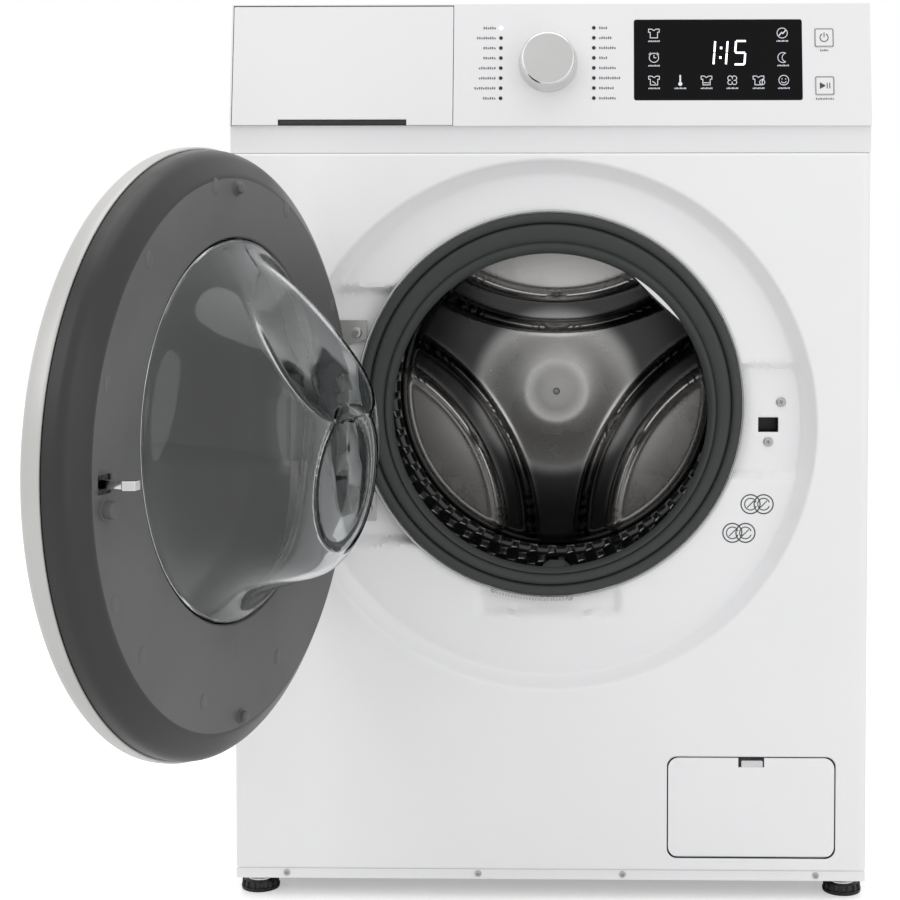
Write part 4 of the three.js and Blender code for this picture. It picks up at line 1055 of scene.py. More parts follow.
    def lock_and_hinge(self) -> None:
        """Lock screws, hinge plate with its screws, and the two pairs of printed rings."""
        bm = bmesh.new()
        for x, z, depth in ((219.0, 470.6, 24.5), (207.0, 432.7, 24.5)):
            screw_head(bm, x, depth + 1.4, z, 4.6, 2.2)
        settle("lock_screws", bm, "cabinet", [palette.hardware], datum.cabinet())
        refined("hinge_plate", "hinge_bracket", "cabinet", palette.hardware, 0.5)
        bm = bmesh.new()
        for x, z in ((-184.4, 535.9), (-174.9, 368.3)):
            screw_head(bm, x, 27.1, z, 5.4, 2.6, 0.9)
        settle("hinge_screws", bm, "cabinet", [palette.hardware], datum.cabinet())
        bm = bmesh.new()
        for x, z in ((196.5, 373.9), (179.4, 346.5)):
            for shift in (-6.4, 6.0):
                face = self.depth_at(x + shift, z) - 0.15
                stroke(bm, arc(x + shift, z, 9.0, 0, 360, 30), 1.1, face, 0.2)
                stroke(bm, arc(x + shift, z, 5.6, 20, 340, 20), 0.9, face, 0.2)
                stroke(bm, [(x + shift - 3, z - 3), (x + shift + 3, z + 3)], 0.9, face, 0.2)
        settle("printed_rings", bm, "cabinet", [palette.print_grey],
               datum.cabinet())

    def plain_parts(self) -> None:
        """Parts whose CAD shape is kept, with rounded edges."""
        refined("worktop", "worktop_slab", "cabinet", palette.shell, 2.5, 4)
        refined("plinth_strip", "base_strip", "cabinet", palette.paint, 0.4)
        refined("filter_flap", "service_flap", "filter_flap", palette.paint, 0.7, 3)
        refined("filter_cap", "filter_knob", "filter_cap", palette.grey, 1.2, 3)
        refined("door_lock", "lock_body", "cabinet", palette.black, 0.8)
        bm = bmesh.new()
        for x in (-250.0, -68.0, 69.0, 251.5):
            screw_head(bm, x, 2.2, 23.4, 3.1, 1.7, x * 0.02)
        settle("plinth_screws", bm, "cabinet", [palette.hardware],
               datum.cabinet())
        bm = bmesh.new()
        block(bm, (3 - self.half, 6.0, self.top - 6), (self.half - 3, 7.0, self.top + 5))
        settle("gap_flange", bm, "cabinet", [palette.pale], datum.cabinet())
        bm = bmesh.new()
        block(bm, (181.0, 1.2, 126.6), (201.0, 3.4, 133.0), 1.0)
        settle("flap_catch", bm, "filter_flap", [palette.pale], datum.cabinet())

    def side_skins(self) -> None:
        """The cabinet's sides, each with a long shallow pressed field."""
        for side, node in ((-1, "side_panel_left"), (1, "side_panel_right")):
            near, far = datum.box(node)
            bm = bmesh.new()
            skin = side * self.half
            left, right = sorted((skin, skin - side * 6))
            plate = block(bm, (left, near.y + 26.5, near.z), (right, far.y, far.z))
            face = next(f for v in plate for f in v.link_faces
                        if all(abs(w.co.x - skin) < 0.01 for w in f.verts))
            bmesh.ops.inset_region(bm, faces=[face], thickness=46.0, depth=0.0,
                                   use_even_offset=True)
            bmesh.ops.inset_region(bm, faces=[face], thickness=5.0, depth=-2.4,
                                   use_even_offset=True)
            bevel(bm, list(face.edges), 1.6, 3)
            block(bm, (left, near.y - 0.3, near.z), (right, near.y + 26.6, panel_top()))
            outward(bm)
            name = "side_skin_left" if side < 0 else "side_skin_right"
            settle(name, bm, "cabinet", [palette.paint], datum.cabinet(), [node], 30.0)

    def back_details(self) -> None:
        """The back sheet's cover and its screws, and the caps of the transport bolts."""
        refined("rear_service_cover", "back_cover", "cabinet", palette.zinc, 1.0, 3)
        near, far = datum.box("rear_service_cover")
        bm = bmesh.new()
        for x in (near.x + 9, 0.0, far.x - 9):
            for z in (near.z + 9, far.z - 9):
                self.rear_screw(bm, x, near.y + 1.2, z)
        for z in ((near.z * 2 + far.z) / 3, (near.z + far.z * 2) / 3):
            for x in (near.x + 9, far.x - 9):
                self.rear_screw(bm, x, near.y + 1.2, z)
        settle("back_screws", bm, "cabinet", [palette.hardware], datum.cabinet())
        bm = bmesh.new()
        for x, z in ((-230.0, 700.0), (230.0, 640.0), (-230.0, 190.0), (230.0, 190.0)):
            y = near.y - 0.3
            lathe(bm, [(0, y + 3.2), (9, y + 3.0), (15, y + 2.4), (17, y + 1.2), (17.4, y)], 32, x,
                  z)
        outward(bm)
        settle("transport_caps", bm, "cabinet", [palette.pale], datum.cabinet())

    @staticmethod
    def rear_screw(bm: bmesh.types.BMesh, x: float, y: float, z: float) -> None:
        """Add a screw head that faces the back."""
        lathe(bm, [(4.6, y), (4.6, y + 1.0), (3.6, y + 2.0), (1.9, y + 2.3), (1.6, y + 1.2),
                   (0, y + 1.1)], 14, x, z)

    def feet(self) -> None:
        """Ribbed rubber pads with a bright nut and stud."""
        for name in ("foot_front_left", "foot_front_right", "foot_rear_left", "foot_rear_right"):
            near, far = datum.box(name)
            x, y, radius = (near.x + far.x) / 2, (near.y + far.y) / 2, (far.x - near.x) / 2
            bm = bmesh.new()
            post(bm, x, y, 0.0, 3.4, radius - 0.6, radius, 28)
            post(bm, x, y, 3.2, 9.2, radius - 1.6, radius - 3.2, 28)
            ribs, reach = 14, radius - 1.9
            for rib in range(ribs):
                angle = 2 * math.pi * rib / ribs
                post(bm, x + reach * math.cos(angle), y + reach * math.sin(angle), 2.8, 8.6, 1.6,
                     1.1, 8)
            soften(bm, 0.5, 2)
            settle(name + "_pad", bm, name, [palette.black], datum.cabinet(),
                   [name])
            bm = bmesh.new()
            post(bm, x, y, 9.2, 11.2, 12.4, 12.4, 28)
            post(bm, x, y, 11.2, 17.6, 10.6, 10.6, 6)
            post(bm, x, y, 17.4, 45.0, 4.6, 4.6, 20)
            soften(bm, 0.5, 2)
            settle(name + "_nut", bm, name, [palette.mirror], datum.cabinet())


def panel_top() -> float:
    """The height of the front panel's top edge, in millimetres."""
    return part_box("front_panel")[1].z / MM


# ---------------------------------------------------------------- console


@dataclass
class Console:
    """The leaning fascia with the drawer, dial, lamps, display and keys."""

    drawer_width: float = 206.5
    grip_width: float = 120.0
    knob_x: float = -1.5
    knob_z: float = 59.6
    knob_radius: float = 25.5
    lamp_count: int = 8
    lamp_pitch: float = 9.62
    lamp_top: float = 93.5
    lamp_left: float = -45.8
    lamp_right: float = 41.1
    display_x: float = 156.9
    display_z: float = 62.65
    icon_grid: float = 0.939
    key_x: float = 255.8
    key_frame: float = 8.15
    power_z: float = 83.5
    start_z: float = 37.6

    def build(self) -> None:
        """Make and dress every console piece."""
        refined("console_fascia", "fascia", "cabinet", palette.shell, 1.1, 3)
        self.drawer()
        self.dial()
        self.lamps()
        self.display()
        self.keys()
        log.info("console done")

    def drawer(self) -> None:
        """The drawer's front, a black block that paints shade in its finger slot, and the tray."""
        refined("drawer_front", "drawer_face", "drawer", palette.shell, 0.8, 3)
        refined("drawer_tray", "detergent_tray", "drawer", palette.pale, 0.6, 2)
        left = datum.box("drawer_front")[0].x + (self.drawer_width - self.grip_width) / 2
        bm = bmesh.new()
        # A black block inside the finger slot stands for the slot's shade: painted shade.
        block(bm, (left + 0.4, 2.6, 730.9), (left + self.grip_width - 0.4, 18.6, 735.6))
        soften(bm, 0.5)
        settle("drawer_grip_shade", bm, "drawer", [palette.shade_black], datum.cabinet())

    def dial(self) -> None:
        """The spun programme dial with its bright edge and skirt."""
        r = self.knob_radius
        lean = math.atan2(datum.console_lean, datum.console_height)
        centre = datum.console() @ Vector((self.knob_x, 0, self.knob_z))
        spun = Finish("spun_dial", (0.66, 0.66, 0.655), 0.2, metallic=1.0, pattern=Pattern.SPUN,
                      scale=4000.0,
                      depth=0.2, tone=0.03, wear=0.0, centre=tuple(centre), turn=(-lean, 0.0, 0.0))
        bm = bmesh.new()
        face = [(0, -20.0), (8, -20.0), (r - 3.4, -20.0), (r - 2.2, -19.9)]
        edge = [(r - 2.2, -19.9), (r - 1.6, -19.6), (r - 0.5, -18.6), (r - 0.1, -17.8)]
        side = [(r - 0.1, -17.8), (r, -16.5), (r, -4.0), (r + 0.3, -3.2), (r + 1.6, -1.6),
                (r + 1.9, -0.5),
                (3.3, -0.5), (3.3, 5.6), (0, 5.6)]
        bands(bm, (face, edge, side), 96, self.knob_x, self.knob_z, (0, 1, 1))
        settle("program_dial", bm, "program_knob", [spun, palette.mirror],
               datum.console(),
               ["program_knob"])

    def lamps(self) -> None:
        """Sixteen lamp holes, the first one lit, and the printed marks beside them."""
        holes, lit, captions = bmesh.new(), bmesh.new(), bmesh.new()
        lengths = (6, 9, 6, 6, 8, 8, 10, 6, 4, 6, 8, 4, 8, 10, 7, 8)
        for i, length in enumerate(lengths):
            x, way = (self.lamp_left, -1) if i < self.lamp_count else (self.lamp_right, 1)
            z = self.lamp_top - (i % self.lamp_count) * self.lamp_pitch
            disc(lit if i == 0 else holes, x, z, 1.75, -0.35, 0.4, 16)
            self.caption(captions, x + way * 4.6, z, length, 2.2, way)
        settle("lamp_holes", holes, "cabinet", [palette.black], datum.console())
        settle("lit_lamp", lit, "cabinet", [palette.lit], datum.console())
        settle("program_marks", captions, "cabinet", [palette.print_pale],
               datum.console())

    @staticmethod
    def caption(bm: bmesh.types.BMesh, x: float, z: float, count: int, height: float, align: int,
                y: float = -0.2) -> None:
        """Draw a row of small plain bars where a printed word would stand.

        Args:
            bm: The mesh that receives them.
            x: Where the row starts, or its middle.
            z: The row's middle height.
            count: How many bars.
            height: Their height.
            align: 1 to run right, -1 to run left, 0 to centre.
            y: The face that they stand on.
        """
        pitch = height * 0.92
        start = x - pitch * count / 2 if align == 0 else x
        for k in range(count):
            step = (k + 0.5) * pitch
            middle = start + (step if align >= 0 else -step)
            tall = height * (1.0 if (k * 7 + count) % 3 else 0.72)
            wide, foot = height * 0.26, z - height / 2
            block(bm, (middle - wide, y, foot), (middle + wide, y + 0.3, foot + tall))

    def display(self) -> None:
        """The dark window with a lit time and plain icons."""
        refined("display_window", "display_pane", "cabinet", palette.screen, 0.35)
        y = -0.45
        digits = bmesh.new()
        x, z = self.display_x + 0.4, self.display_z + 6.6
        self.digit(digits, x - 13.2, z, "bc", y)
        for dz in (-4.6, 4.6):
            block(digits, (x + 1.2 + dz * 0.08, y, z + dz - 1.1),
                  (x + 3.2 + dz * 0.08, y + 0.3, z + dz + 1.1))
        self.digit(digits, x - 1.6, z, "bc", y)
        self.digit(digits, x + 15.6, z, "afgcd", y)
        settle("lit_digits", digits, "cabinet", [palette.lit], datum.console())
        icons = bmesh.new()
        cx, cz = self.display_x, self.display_z
        grid = self.icon_grid
        for i, (dx, dz) in enumerate(((-63.6, 26.5), (-63.6, 1.5), (63.9, 26.5), (64.4, 1.5))):
            self.icon(icons, cx + dx * grid, cz + dz * grid + 0.5, i, y)
        for i, dx in enumerate((-63.6, -37.6, -11.6, 13.9, 39.9, 64.9)):
            self.icon(icons, cx + dx * grid, cz - 21.0 * grid, i + 4, y)
        settle("display_icons", icons, "cabinet", [palette.icon], datum.console())

    @staticmethod
    def digit(bm: bmesh.types.BMesh, x: float, z: float, segments: str, y: float) -> None:
        """Draw the lit bars of one seven-bar digit.

        Args:
            bm: The mesh that receives them.
            x: The digit's left side.
            z: Its middle.
            segments: The letters of its lit bars.
            y: The face that they stand on.
        """
        w, h, slant = 9.4, 11.2, 0.9
        lines = {"a": ((0.8, h), (w - 0.8, h)), "b": ((w, 1.0), (w, h - 0.8)),
                 "c": ((w, -h + 0.8), (w, -1.0)),
                 "d": ((0.8, -h), (w - 0.8, -h)), "e": ((0, -h + 0.8), (0, -1.0)),
                 "f": ((0, 1.0), (0, h - 0.8)),
                 "g": ((0.8, 0), (w - 0.8, 0))}
        for letter in segments:
            points = [(x + a + slant * b / h, z + b) for a, b in lines[letter]]
            stroke(bm, points, 1.7, y, 0.3)

    def icon(self, bm: bmesh.types.BMesh, x: float, z: float, kind: int, y: float) -> None:
        """Draw a plain symbol with a row of bars under it.

        Args:
            bm: The mesh that receives it.
            x: Its middle.
            z: Its middle height.
            kind: Which symbol.
            y: The face that it stands on.
        """
        w = 0.6
        shirt = [(x - 5, z + 4), (x - 2, z + 4), (x, z + 2.6), (x + 2, z + 4), (x + 5, z + 4),
                 (x + 5, z + 1),
                 (x + 3.4, z + 1), (x + 3.4, z - 4.4), (x - 3.4, z - 4.4), (x - 3.4, z + 1),
                 (x - 5, z + 1)]
        if kind in (0, 4, 6, 8):
            stroke(bm, shirt, w, y, closed=True)
            if kind == 4:
                stroke(bm, [(x - 1.4, z - 1), (x + 1.6, z - 3)], w, y)
            if kind == 6:
                stroke(bm, [(x - 2.6, z - 2.4), (x + 2.6, z - 2.4)], w, y)
            if kind == 8:
                stroke(bm, arc(x + 3.4, z - 2, 2.4, 0, 360, 12), w, y)
        elif kind == 1:
            stroke(bm, arc(x, z, 4.4, 0, 360, 20), w, y)
            stroke(bm, [(x, z + 2.6), (x, z), (x + 2, z)], w, y)
            for side in (-1, 1):
                stroke(bm, [(x + side * 4.6, z + 3.2), (x + side * 3, z + 4.8)], w, y)
        elif kind == 2:
            stroke(bm, arc(x, z, 4.8, 0, 360, 20), w, y)
            stroke(bm, [(x - 3, z - 2.4), (x - 0.6, z + 0.6), (x + 0.6, z - 0.6), (x + 3, z + 2.4)],
                   w * 1.6, y)
        elif kind == 3:
            stroke(bm, arc(x, z, 4.8, 60, 300, 18), w, y)
            stroke(bm, arc(x + 3.4, z, 4.2, 104, 256, 14), w, y)
        elif kind == 5:
            stroke(bm, [(x, z + 4.6), (x, z - 2)], w * 2.4, y)
            disc(bm, x, z - 3.4, 1.9, y, y + 0.3, 14)
        elif kind == 7:
            for turn in range(4):
                angle = 45 + 90 * turn
                a = x + 2.8 * math.cos(math.radians(angle))
                b = z + 2.8 * math.sin(math.radians(angle))
                stroke(bm, arc(a, b, 2.2, angle - 150, angle + 120, 10), w, y)
        else:
            stroke(bm, arc(x, z, 4.6, 0, 360, 20), w, y)
            stroke(bm, arc(x, z - 0.4, 2.2, 200, 340, 8), w, y)
            for side in (-1, 1):
                disc(bm, x + side * 1.7, z + 1.2, 0.5, y, y + 0.3, 8)
        self.caption(bm, x, z - 7.6, 9, 1.35, 0, y)

    def keys(self) -> None:
        """The power and start keys with their printed signs."""
        for node, name, z in (("power_button", "power_key", self.power_z),
                              ("start_button", "start_key", self.start_z)):
            refined(node, name, node, palette.shell, 0.7, 3)
            x, y = self.key_x, -0.8
            bm = bmesh.new()
            r = self.key_frame
            for x0, x1, z0, z1 in ((-r, r, -r, -r), (r, r, -r, r), (r, -r, r, r), (-r, -r, r, -r)):
                stroke(bm, [(x + x0, z + z0), (x + x1, z + z1)], 0.4, y)
            if node == "power_button":
                stroke(bm, arc(x, z, 3.8, 120, 420, 22), 0.75, y)
                stroke(bm, [(x, z + 0.6), (x, z + 4.6)], 0.75, y)
            else:
                for k in range(6):
                    half = 2.7 * (1 - k / 6)
                    stroke(bm, [(x - 4.2 + k * 0.8, z - half), (x - 4.2 + k * 0.8, z + half)], 0.85,
                           y)
                for dx in (2.2, 4.6):
                    stroke(bm, [(x + dx, z - 2.4), (x + dx, z + 2.4)], 0.8, y)
            settle(name + "_sign", bm, node, [palette.print_grey], datum.console())
        bm = bmesh.new()
        self.caption(bm, self.key_x, self.power_z - 12.0, 5, 1.7, 0)
        self.caption(bm, self.key_x, self.start_z - 12.4, 11, 1.7, 0)
        settle("key_marks", bm, "cabinet", [palette.print_pale], datum.console())


# ---------------------------------------------------------------- door


@dataclass
class Door:
    """The round door, modelled shut and turned open with the frame's joint."""

    z: float = 449.0
    bowl_z: float = 468.0
    radius: float = 247.0
    front: float = -32.0
    back: float = 14.0
    cover_radius: float = 189.7
    bowl_radius: float = 154.5
    bowl_slope: float = 1.42
    bowl_sink: float = 12.0
    hinge_slot_z: float = 451.0
    hinge_slot: float = 48.4

    def build(self) -> None:
        """Make and dress every door piece."""
        self.rim()
        self.cover()
        self.inner_frame()
        self.bowl()
        self.fittings()
        log.info("door done")

    def rim(self) -> None:
        """The outer ring, rounded at its edge."""
        r, y = self.radius, self.front
        outside = smoothed([(self.cover_radius + 0.5, y + 3.4), (r - 30, y + 0.9), (r - 14, y),
                            (r - 5, y + 1.8),
                            (r - 0.6, y + 7.4), (r, y + 12), (r, y + 18.6), (r - 1.0, y + 19.8)], 2)
        inside = [(r - 2.0, y + 19.8), (r - 2.6, y + 13), (r - 7.4, y + 6), (r - 14, y + 3.2),
                  (self.cover_radius + 0.5, y + 6.7)]
        bm = bmesh.new()
        lathe(bm, outside + inside, 192, 0, self.z, closed=True)
        outward(bm)
        settle("door_rim", bm, "door", [palette.silver], datum.door(),
               ["door_ring"])

    def cover(self) -> None:
        """The smoked outer cover, gently dished."""
        y, r = self.front, self.cover_radius
        outside = smoothed([(0, y + 9.6), (60, y + 9.4), (120, y + 8.4), (r - 10, y + 4.6),
                            (r, y + 3.8)], 2)
        inside = [(r, y + 6.5), (r - 10, y + 7.5), (120, y + 11.5), (0, y + 12.5)]
        bm = bmesh.new()
        lathe(bm, outside + inside, 160, 0, self.z)
        outward(bm)
        settle("door_outer_cover", bm, "door", [palette.smoked], datum.door(),
               ["door_cover"])

    def inner_frame(self) -> None:
        """The grey inner face, its slope and the band round it, both darker with painted shade, and the slots."""
        y, r = self.back, self.radius
        face = [(self.bowl_radius + 0.7, y - 2.6), (self.bowl_radius + 1.0, y - 0.9),
                (self.bowl_radius + 2.2, y),
                (172, y), (190, y), (208, y), (220, y), (221.6, y - 0.1)]
        slope = smoothed([(221.6, y - 0.1), (224.4, y - 0.5), (233.0, y - 5.2), (240.0, y - 9.4),
                          (243.6, y - 14.0),
                          (244.6, y - 18.0), (244.8, self.front + 20.6)], 2)
        band = [(244.8, self.front + 20.6), (244.2, self.front + 20.2), (244.2, self.front + 17.0)]
        bm = bmesh.new()
        bands(bm, (face, slope, band), 192, 0, self.z, (0, 1, 2))
        for v in bm.verts:
            reach = math.hypot(v.co.x, v.co.z - self.z)
            v.co.z += (self.bowl_z - self.z) * (1 - ease(reach, 158, 206))
        middle, half = self.hinge_slot_z, self.hinge_slot
        cut_rectangle(bm, (-r - 6, middle - half), (-192.0, middle + half))
        cut_rectangle(bm, (196.0, self.z - 7), (214.0, self.z + 7))
        face_along(bm, max(bm.faces, key=lambda f: f.calc_center_median().y), 1)
        # The slope and the band take darker finishes than the face as painted shade.
        finishes = [palette.grey, palette.slope, palette.shade_black]
        piece = settle("door_inner_shell", bm, "door", finishes, datum.door(),
                       ["door_inner_frame"], 24.0)
        thicken(piece, 2.6)

    def bowl(self) -> None:
        """The pressed glass bowl, sliced by the slope that turns laundry back."""
        r, y = self.bowl_radius, self.back
        bm = bmesh.new()
        path = smoothed([(r, y - 8.6), (r, y), (r * 0.985, y + 1.6), (r * 0.935, y + 6),
                         (r * 0.855, y + 19),
                         (r * 0.777, y + 40), (r * 0.712, y + 62), (r * 0.653, y + 78),
                         (r * 0.556, y + 90),
                         (r * 0.414, y + 97), (r * 0.26, y + 100), (0, y + 101)], 3)
        lathe(bm, path, 192, 0, self.bowl_z)
        outward(bm)
        for v in bm.verts:
            v.co = self.pressed(v.co)
        bmesh.ops.recalc_face_normals(bm, faces=bm.faces)
        face_along(bm, max(bm.faces, key=lambda f: f.calc_center_median().y), 1)
        piece = settle("glass_bowl", bm, "door", [palette.glass], datum.door(),
                       ["door_glass"], 60.0)
        thicken(piece, 4.2)

    def pressed(self, co: Vector) -> Vector:
        """Press a point of the round bowl into a lowered end, a dished flat and a sunk end face.

        Args:
            co: The point, with the door shut.

        Returns:
            The point's new place.
        """
        reach = co.y - self.back
        inward = ease(reach, 4, 100)
        x = co.x * (1 - 0.12 * inward)
        z = co.z - self.bowl_sink * inward
        dish = 7.0 * (1 - ease(abs(x), 30, 92)) * ease(reach, 8, 60)
        flat = self.bowl_z + self.bowl_radius - (reach - 4) * self.bowl_slope - dish
        soft = max(6.0 - abs(z - flat), 0.0)
        z = min(z, flat) - soft * soft / 24.0
        lens = 1 - ease(math.hypot(x, z - self.bowl_z + 36), 50, 60)
        return Vector((x, co.y - 5.0 * lens * ease(reach, 70, 92), z))

    def fittings(self) -> None:
        """Hinge leaf, hook, bumper pins and the small oval plugs."""
        refined("door_hinge_leaf", "hinge_leaf", "door", palette.hardware, 0.6)
        refined("door_hook", "latch_hook", "door_hook", palette.mirror, 0.9, 3)
        y = self.back
        bm = bmesh.new()
        for x, z, r, h in ((205.0, 431.0, 6.6, 9.0), (2.0, self.z + 214, 5.0, 5.6),
                           (2.0, self.z - 214, 5.0, 5.6)):
            lathe(bm, [(r + 1.4, y - 0.2), (r + 1.2, y + 0.8), (r, y + 1.2),
                       (r * 0.96, y + h - 1.4),
                       (r * 0.8, y + h - 0.3), (r * 0.5, y + h), (0, y + h)], 28, x, z)
        outward(bm)
        settle("bumper_pins", bm, "door", [palette.grey], datum.door())
        bm = bmesh.new()
        for reach, turn in ((217, 80), (218, 114), (211, 48), (211, 19), (211, -24), (204, -40),
                            (192, -110),
                            (198, -71), (216, 148)):
            x = reach * math.cos(math.radians(turn))
            z = self.z + reach * math.sin(math.radians(turn))
            verts = lathe(bm, [(5.2, y - 0.1), (5.1, y + 0.25), (4.7, y + 0.45), (0, y + 0.5)], 20,
                          x, z)
            for v in verts:
                v.co.z = z + (v.co.z - z) * 1.35
        outward(bm)
        settle("screw_plugs", bm, "door", [palette.plug], datum.door())


# ---------------------------------------------------------------- gasket


@dataclass
class Gasket:
    """The rubber bellows of the door opening with its clamp wire and spray nozzle."""

    z: float = 468.0
    drum_z: float = 453.5
    lip_drop: float = 6.4
    wire: float = 183.6
    spring: float = 184.4
    coils: int = 26

    def build(self) -> None:
        """Make and dress every gasket piece."""
        self.bellows()
        self.clamp()
        self.nozzle()
        log.info("gasket done")

    def bellows(self) -> None:
        """The bellows: an outer bead, ridged face, inner lip and the folds back to the tub."""
        path = smoothed([(180.4, 21.0), (181.0, 18.2), (178.8, 16.2), (175.6, 16.2), (173.8, 18.0),
                         (173.0, 22.6),
                         (171.0, 22.8), (169.8, 18.6), (167.8, 17.6), (160.5, 19.6), (159.0, 24.0),
                         (157.4, 24.2),
                         (156.0, 21.6), (153.6, 23.0), (151.4, 26.0), (150.8, 29.8), (151.6, 34.0),
                         (154.4, 38.0),
                         (162.0, 42.0), (166.4, 47.0), (163.0, 54.0), (156.5, 60.0), (159.0, 67.0),
                         (167.0, 72.0),
                         (172.6, 78.0), (173.6, 84.0), (173.6, 92.6)], 2)
        bm = bmesh.new()
        lathe(bm, wall(path, 2.4), 176, 0, self.z, closed=True)
        for v in bm.verts:
            reach = math.hypot(v.co.x, v.co.z - self.z)
            v.co.z -= self.lip_drop * (1 - ease(reach, 151, 168)) * (1 - ease(v.co.y, 38, 58))
            v.co.z += (self.drum_z - self.z) * ease(v.co.y, 40, 80)
        outward(bm)
        piece = settle("door_bellows", bm, "", [palette.rubber], datum.cabinet(),
                       ["door_gasket"],
                       50.0)
        datum.at(0, 42, self.z)
        datum.at(0, 80, self.z)
        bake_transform(piece)

    def clamp(self) -> None:
        """The wire that clamps the bellows and its tension spring at the bottom."""
        bm = bmesh.new()
        lathe(bm, self.round_path(self.wire, 18.0, 1.1, 8), 128, 0, self.z, closed=True)
        start, end, radius = math.radians(-107), math.radians(-84), self.spring
        for k in range(self.coils):
            angle = start + (end - start) * (k + 0.5) / self.coils
            place = Matrix.Translation((radius * math.cos(angle), 17.6,
                                        self.z + radius * math.sin(angle)))
            turn = Matrix.Rotation(-angle, 4, "Y")
            bmesh.ops.create_cone(bm, cap_ends=True, segments=14, radius1=2.3, radius2=2.3,
                                  depth=1.6,
                                  matrix=place @ turn)
        for angle in (start, end):
            x, z = radius * math.cos(angle), self.z + radius * math.sin(angle)
            lathe(bm, self.round_path(2.0, 16.2, 0.8, 6), 18, x, z, closed=True)
        outward(bm)
        settle("clamp_wire", bm, "cabinet", [palette.hardware], datum.cabinet())

    @staticmethod
    def round_path(r: float, y: float, radius: float, count: int) -> list[tuple[float, float]]:
        """The round profile of a wire, as [radius, y] pairs about its middle."""
        turns = [2 * math.pi * t / count for t in range(count)]
        return [(r + radius * math.cos(t), y + radius * math.sin(t)) for t in turns]

    def nozzle(self) -> None:
        """The small spray nozzle at the upper right and the bright guard plate round it."""
        bm = bmesh.new()
        low, high = math.radians(30), math.radians(63)
        path = [(153.5, 25.5), (155.0, 27.0), (155.0, 35.0), (152.0, 35.0), (151.6, 28.0)]
        middle = self.z - self.lip_drop
        lathe(bm, path, 180, 0, middle, closed=True)
        angles = {v: math.atan2(v.co.z - middle, v.co.x) for v in bm.verts}
        outside = [f for f in bm.faces if not all(low < angles[v] < high for v in f.verts)]
        bmesh.ops.delete(bm, geom=outside, context="FACES")
        for v in bm.verts:
            swell = math.sin(math.pi * (angles[v] - low) / (high - low))
            reach = math.hypot(v.co.x, v.co.z - middle)
            inward = 1 - 7.0 * swell / reach if reach < 154.5 else 1.0
            v.co.x, v.co.z = v.co.x * inward, (v.co.z - middle) * inward + middle
        bmesh.ops.holes_fill(bm, edges=[e for e in bm.edges if e.is_boundary], sides=8)
        outward(bm)
        settle("nozzle_guard", bm, "cabinet", [palette.mirror], datum.cabinet())
        bm = bmesh.new()
        lathe(bm, [(0, 26), (4.4, 26.3), (6.6, 27.4), (7.2, 29), (7.2, 44), (0, 44)], 28, 98.5,
              579.5)
        outward(bm)
        settle("spray_nozzle", bm, "cabinet", [palette.black], datum.cabinet())


# ---------------------------------------------------------------- drum


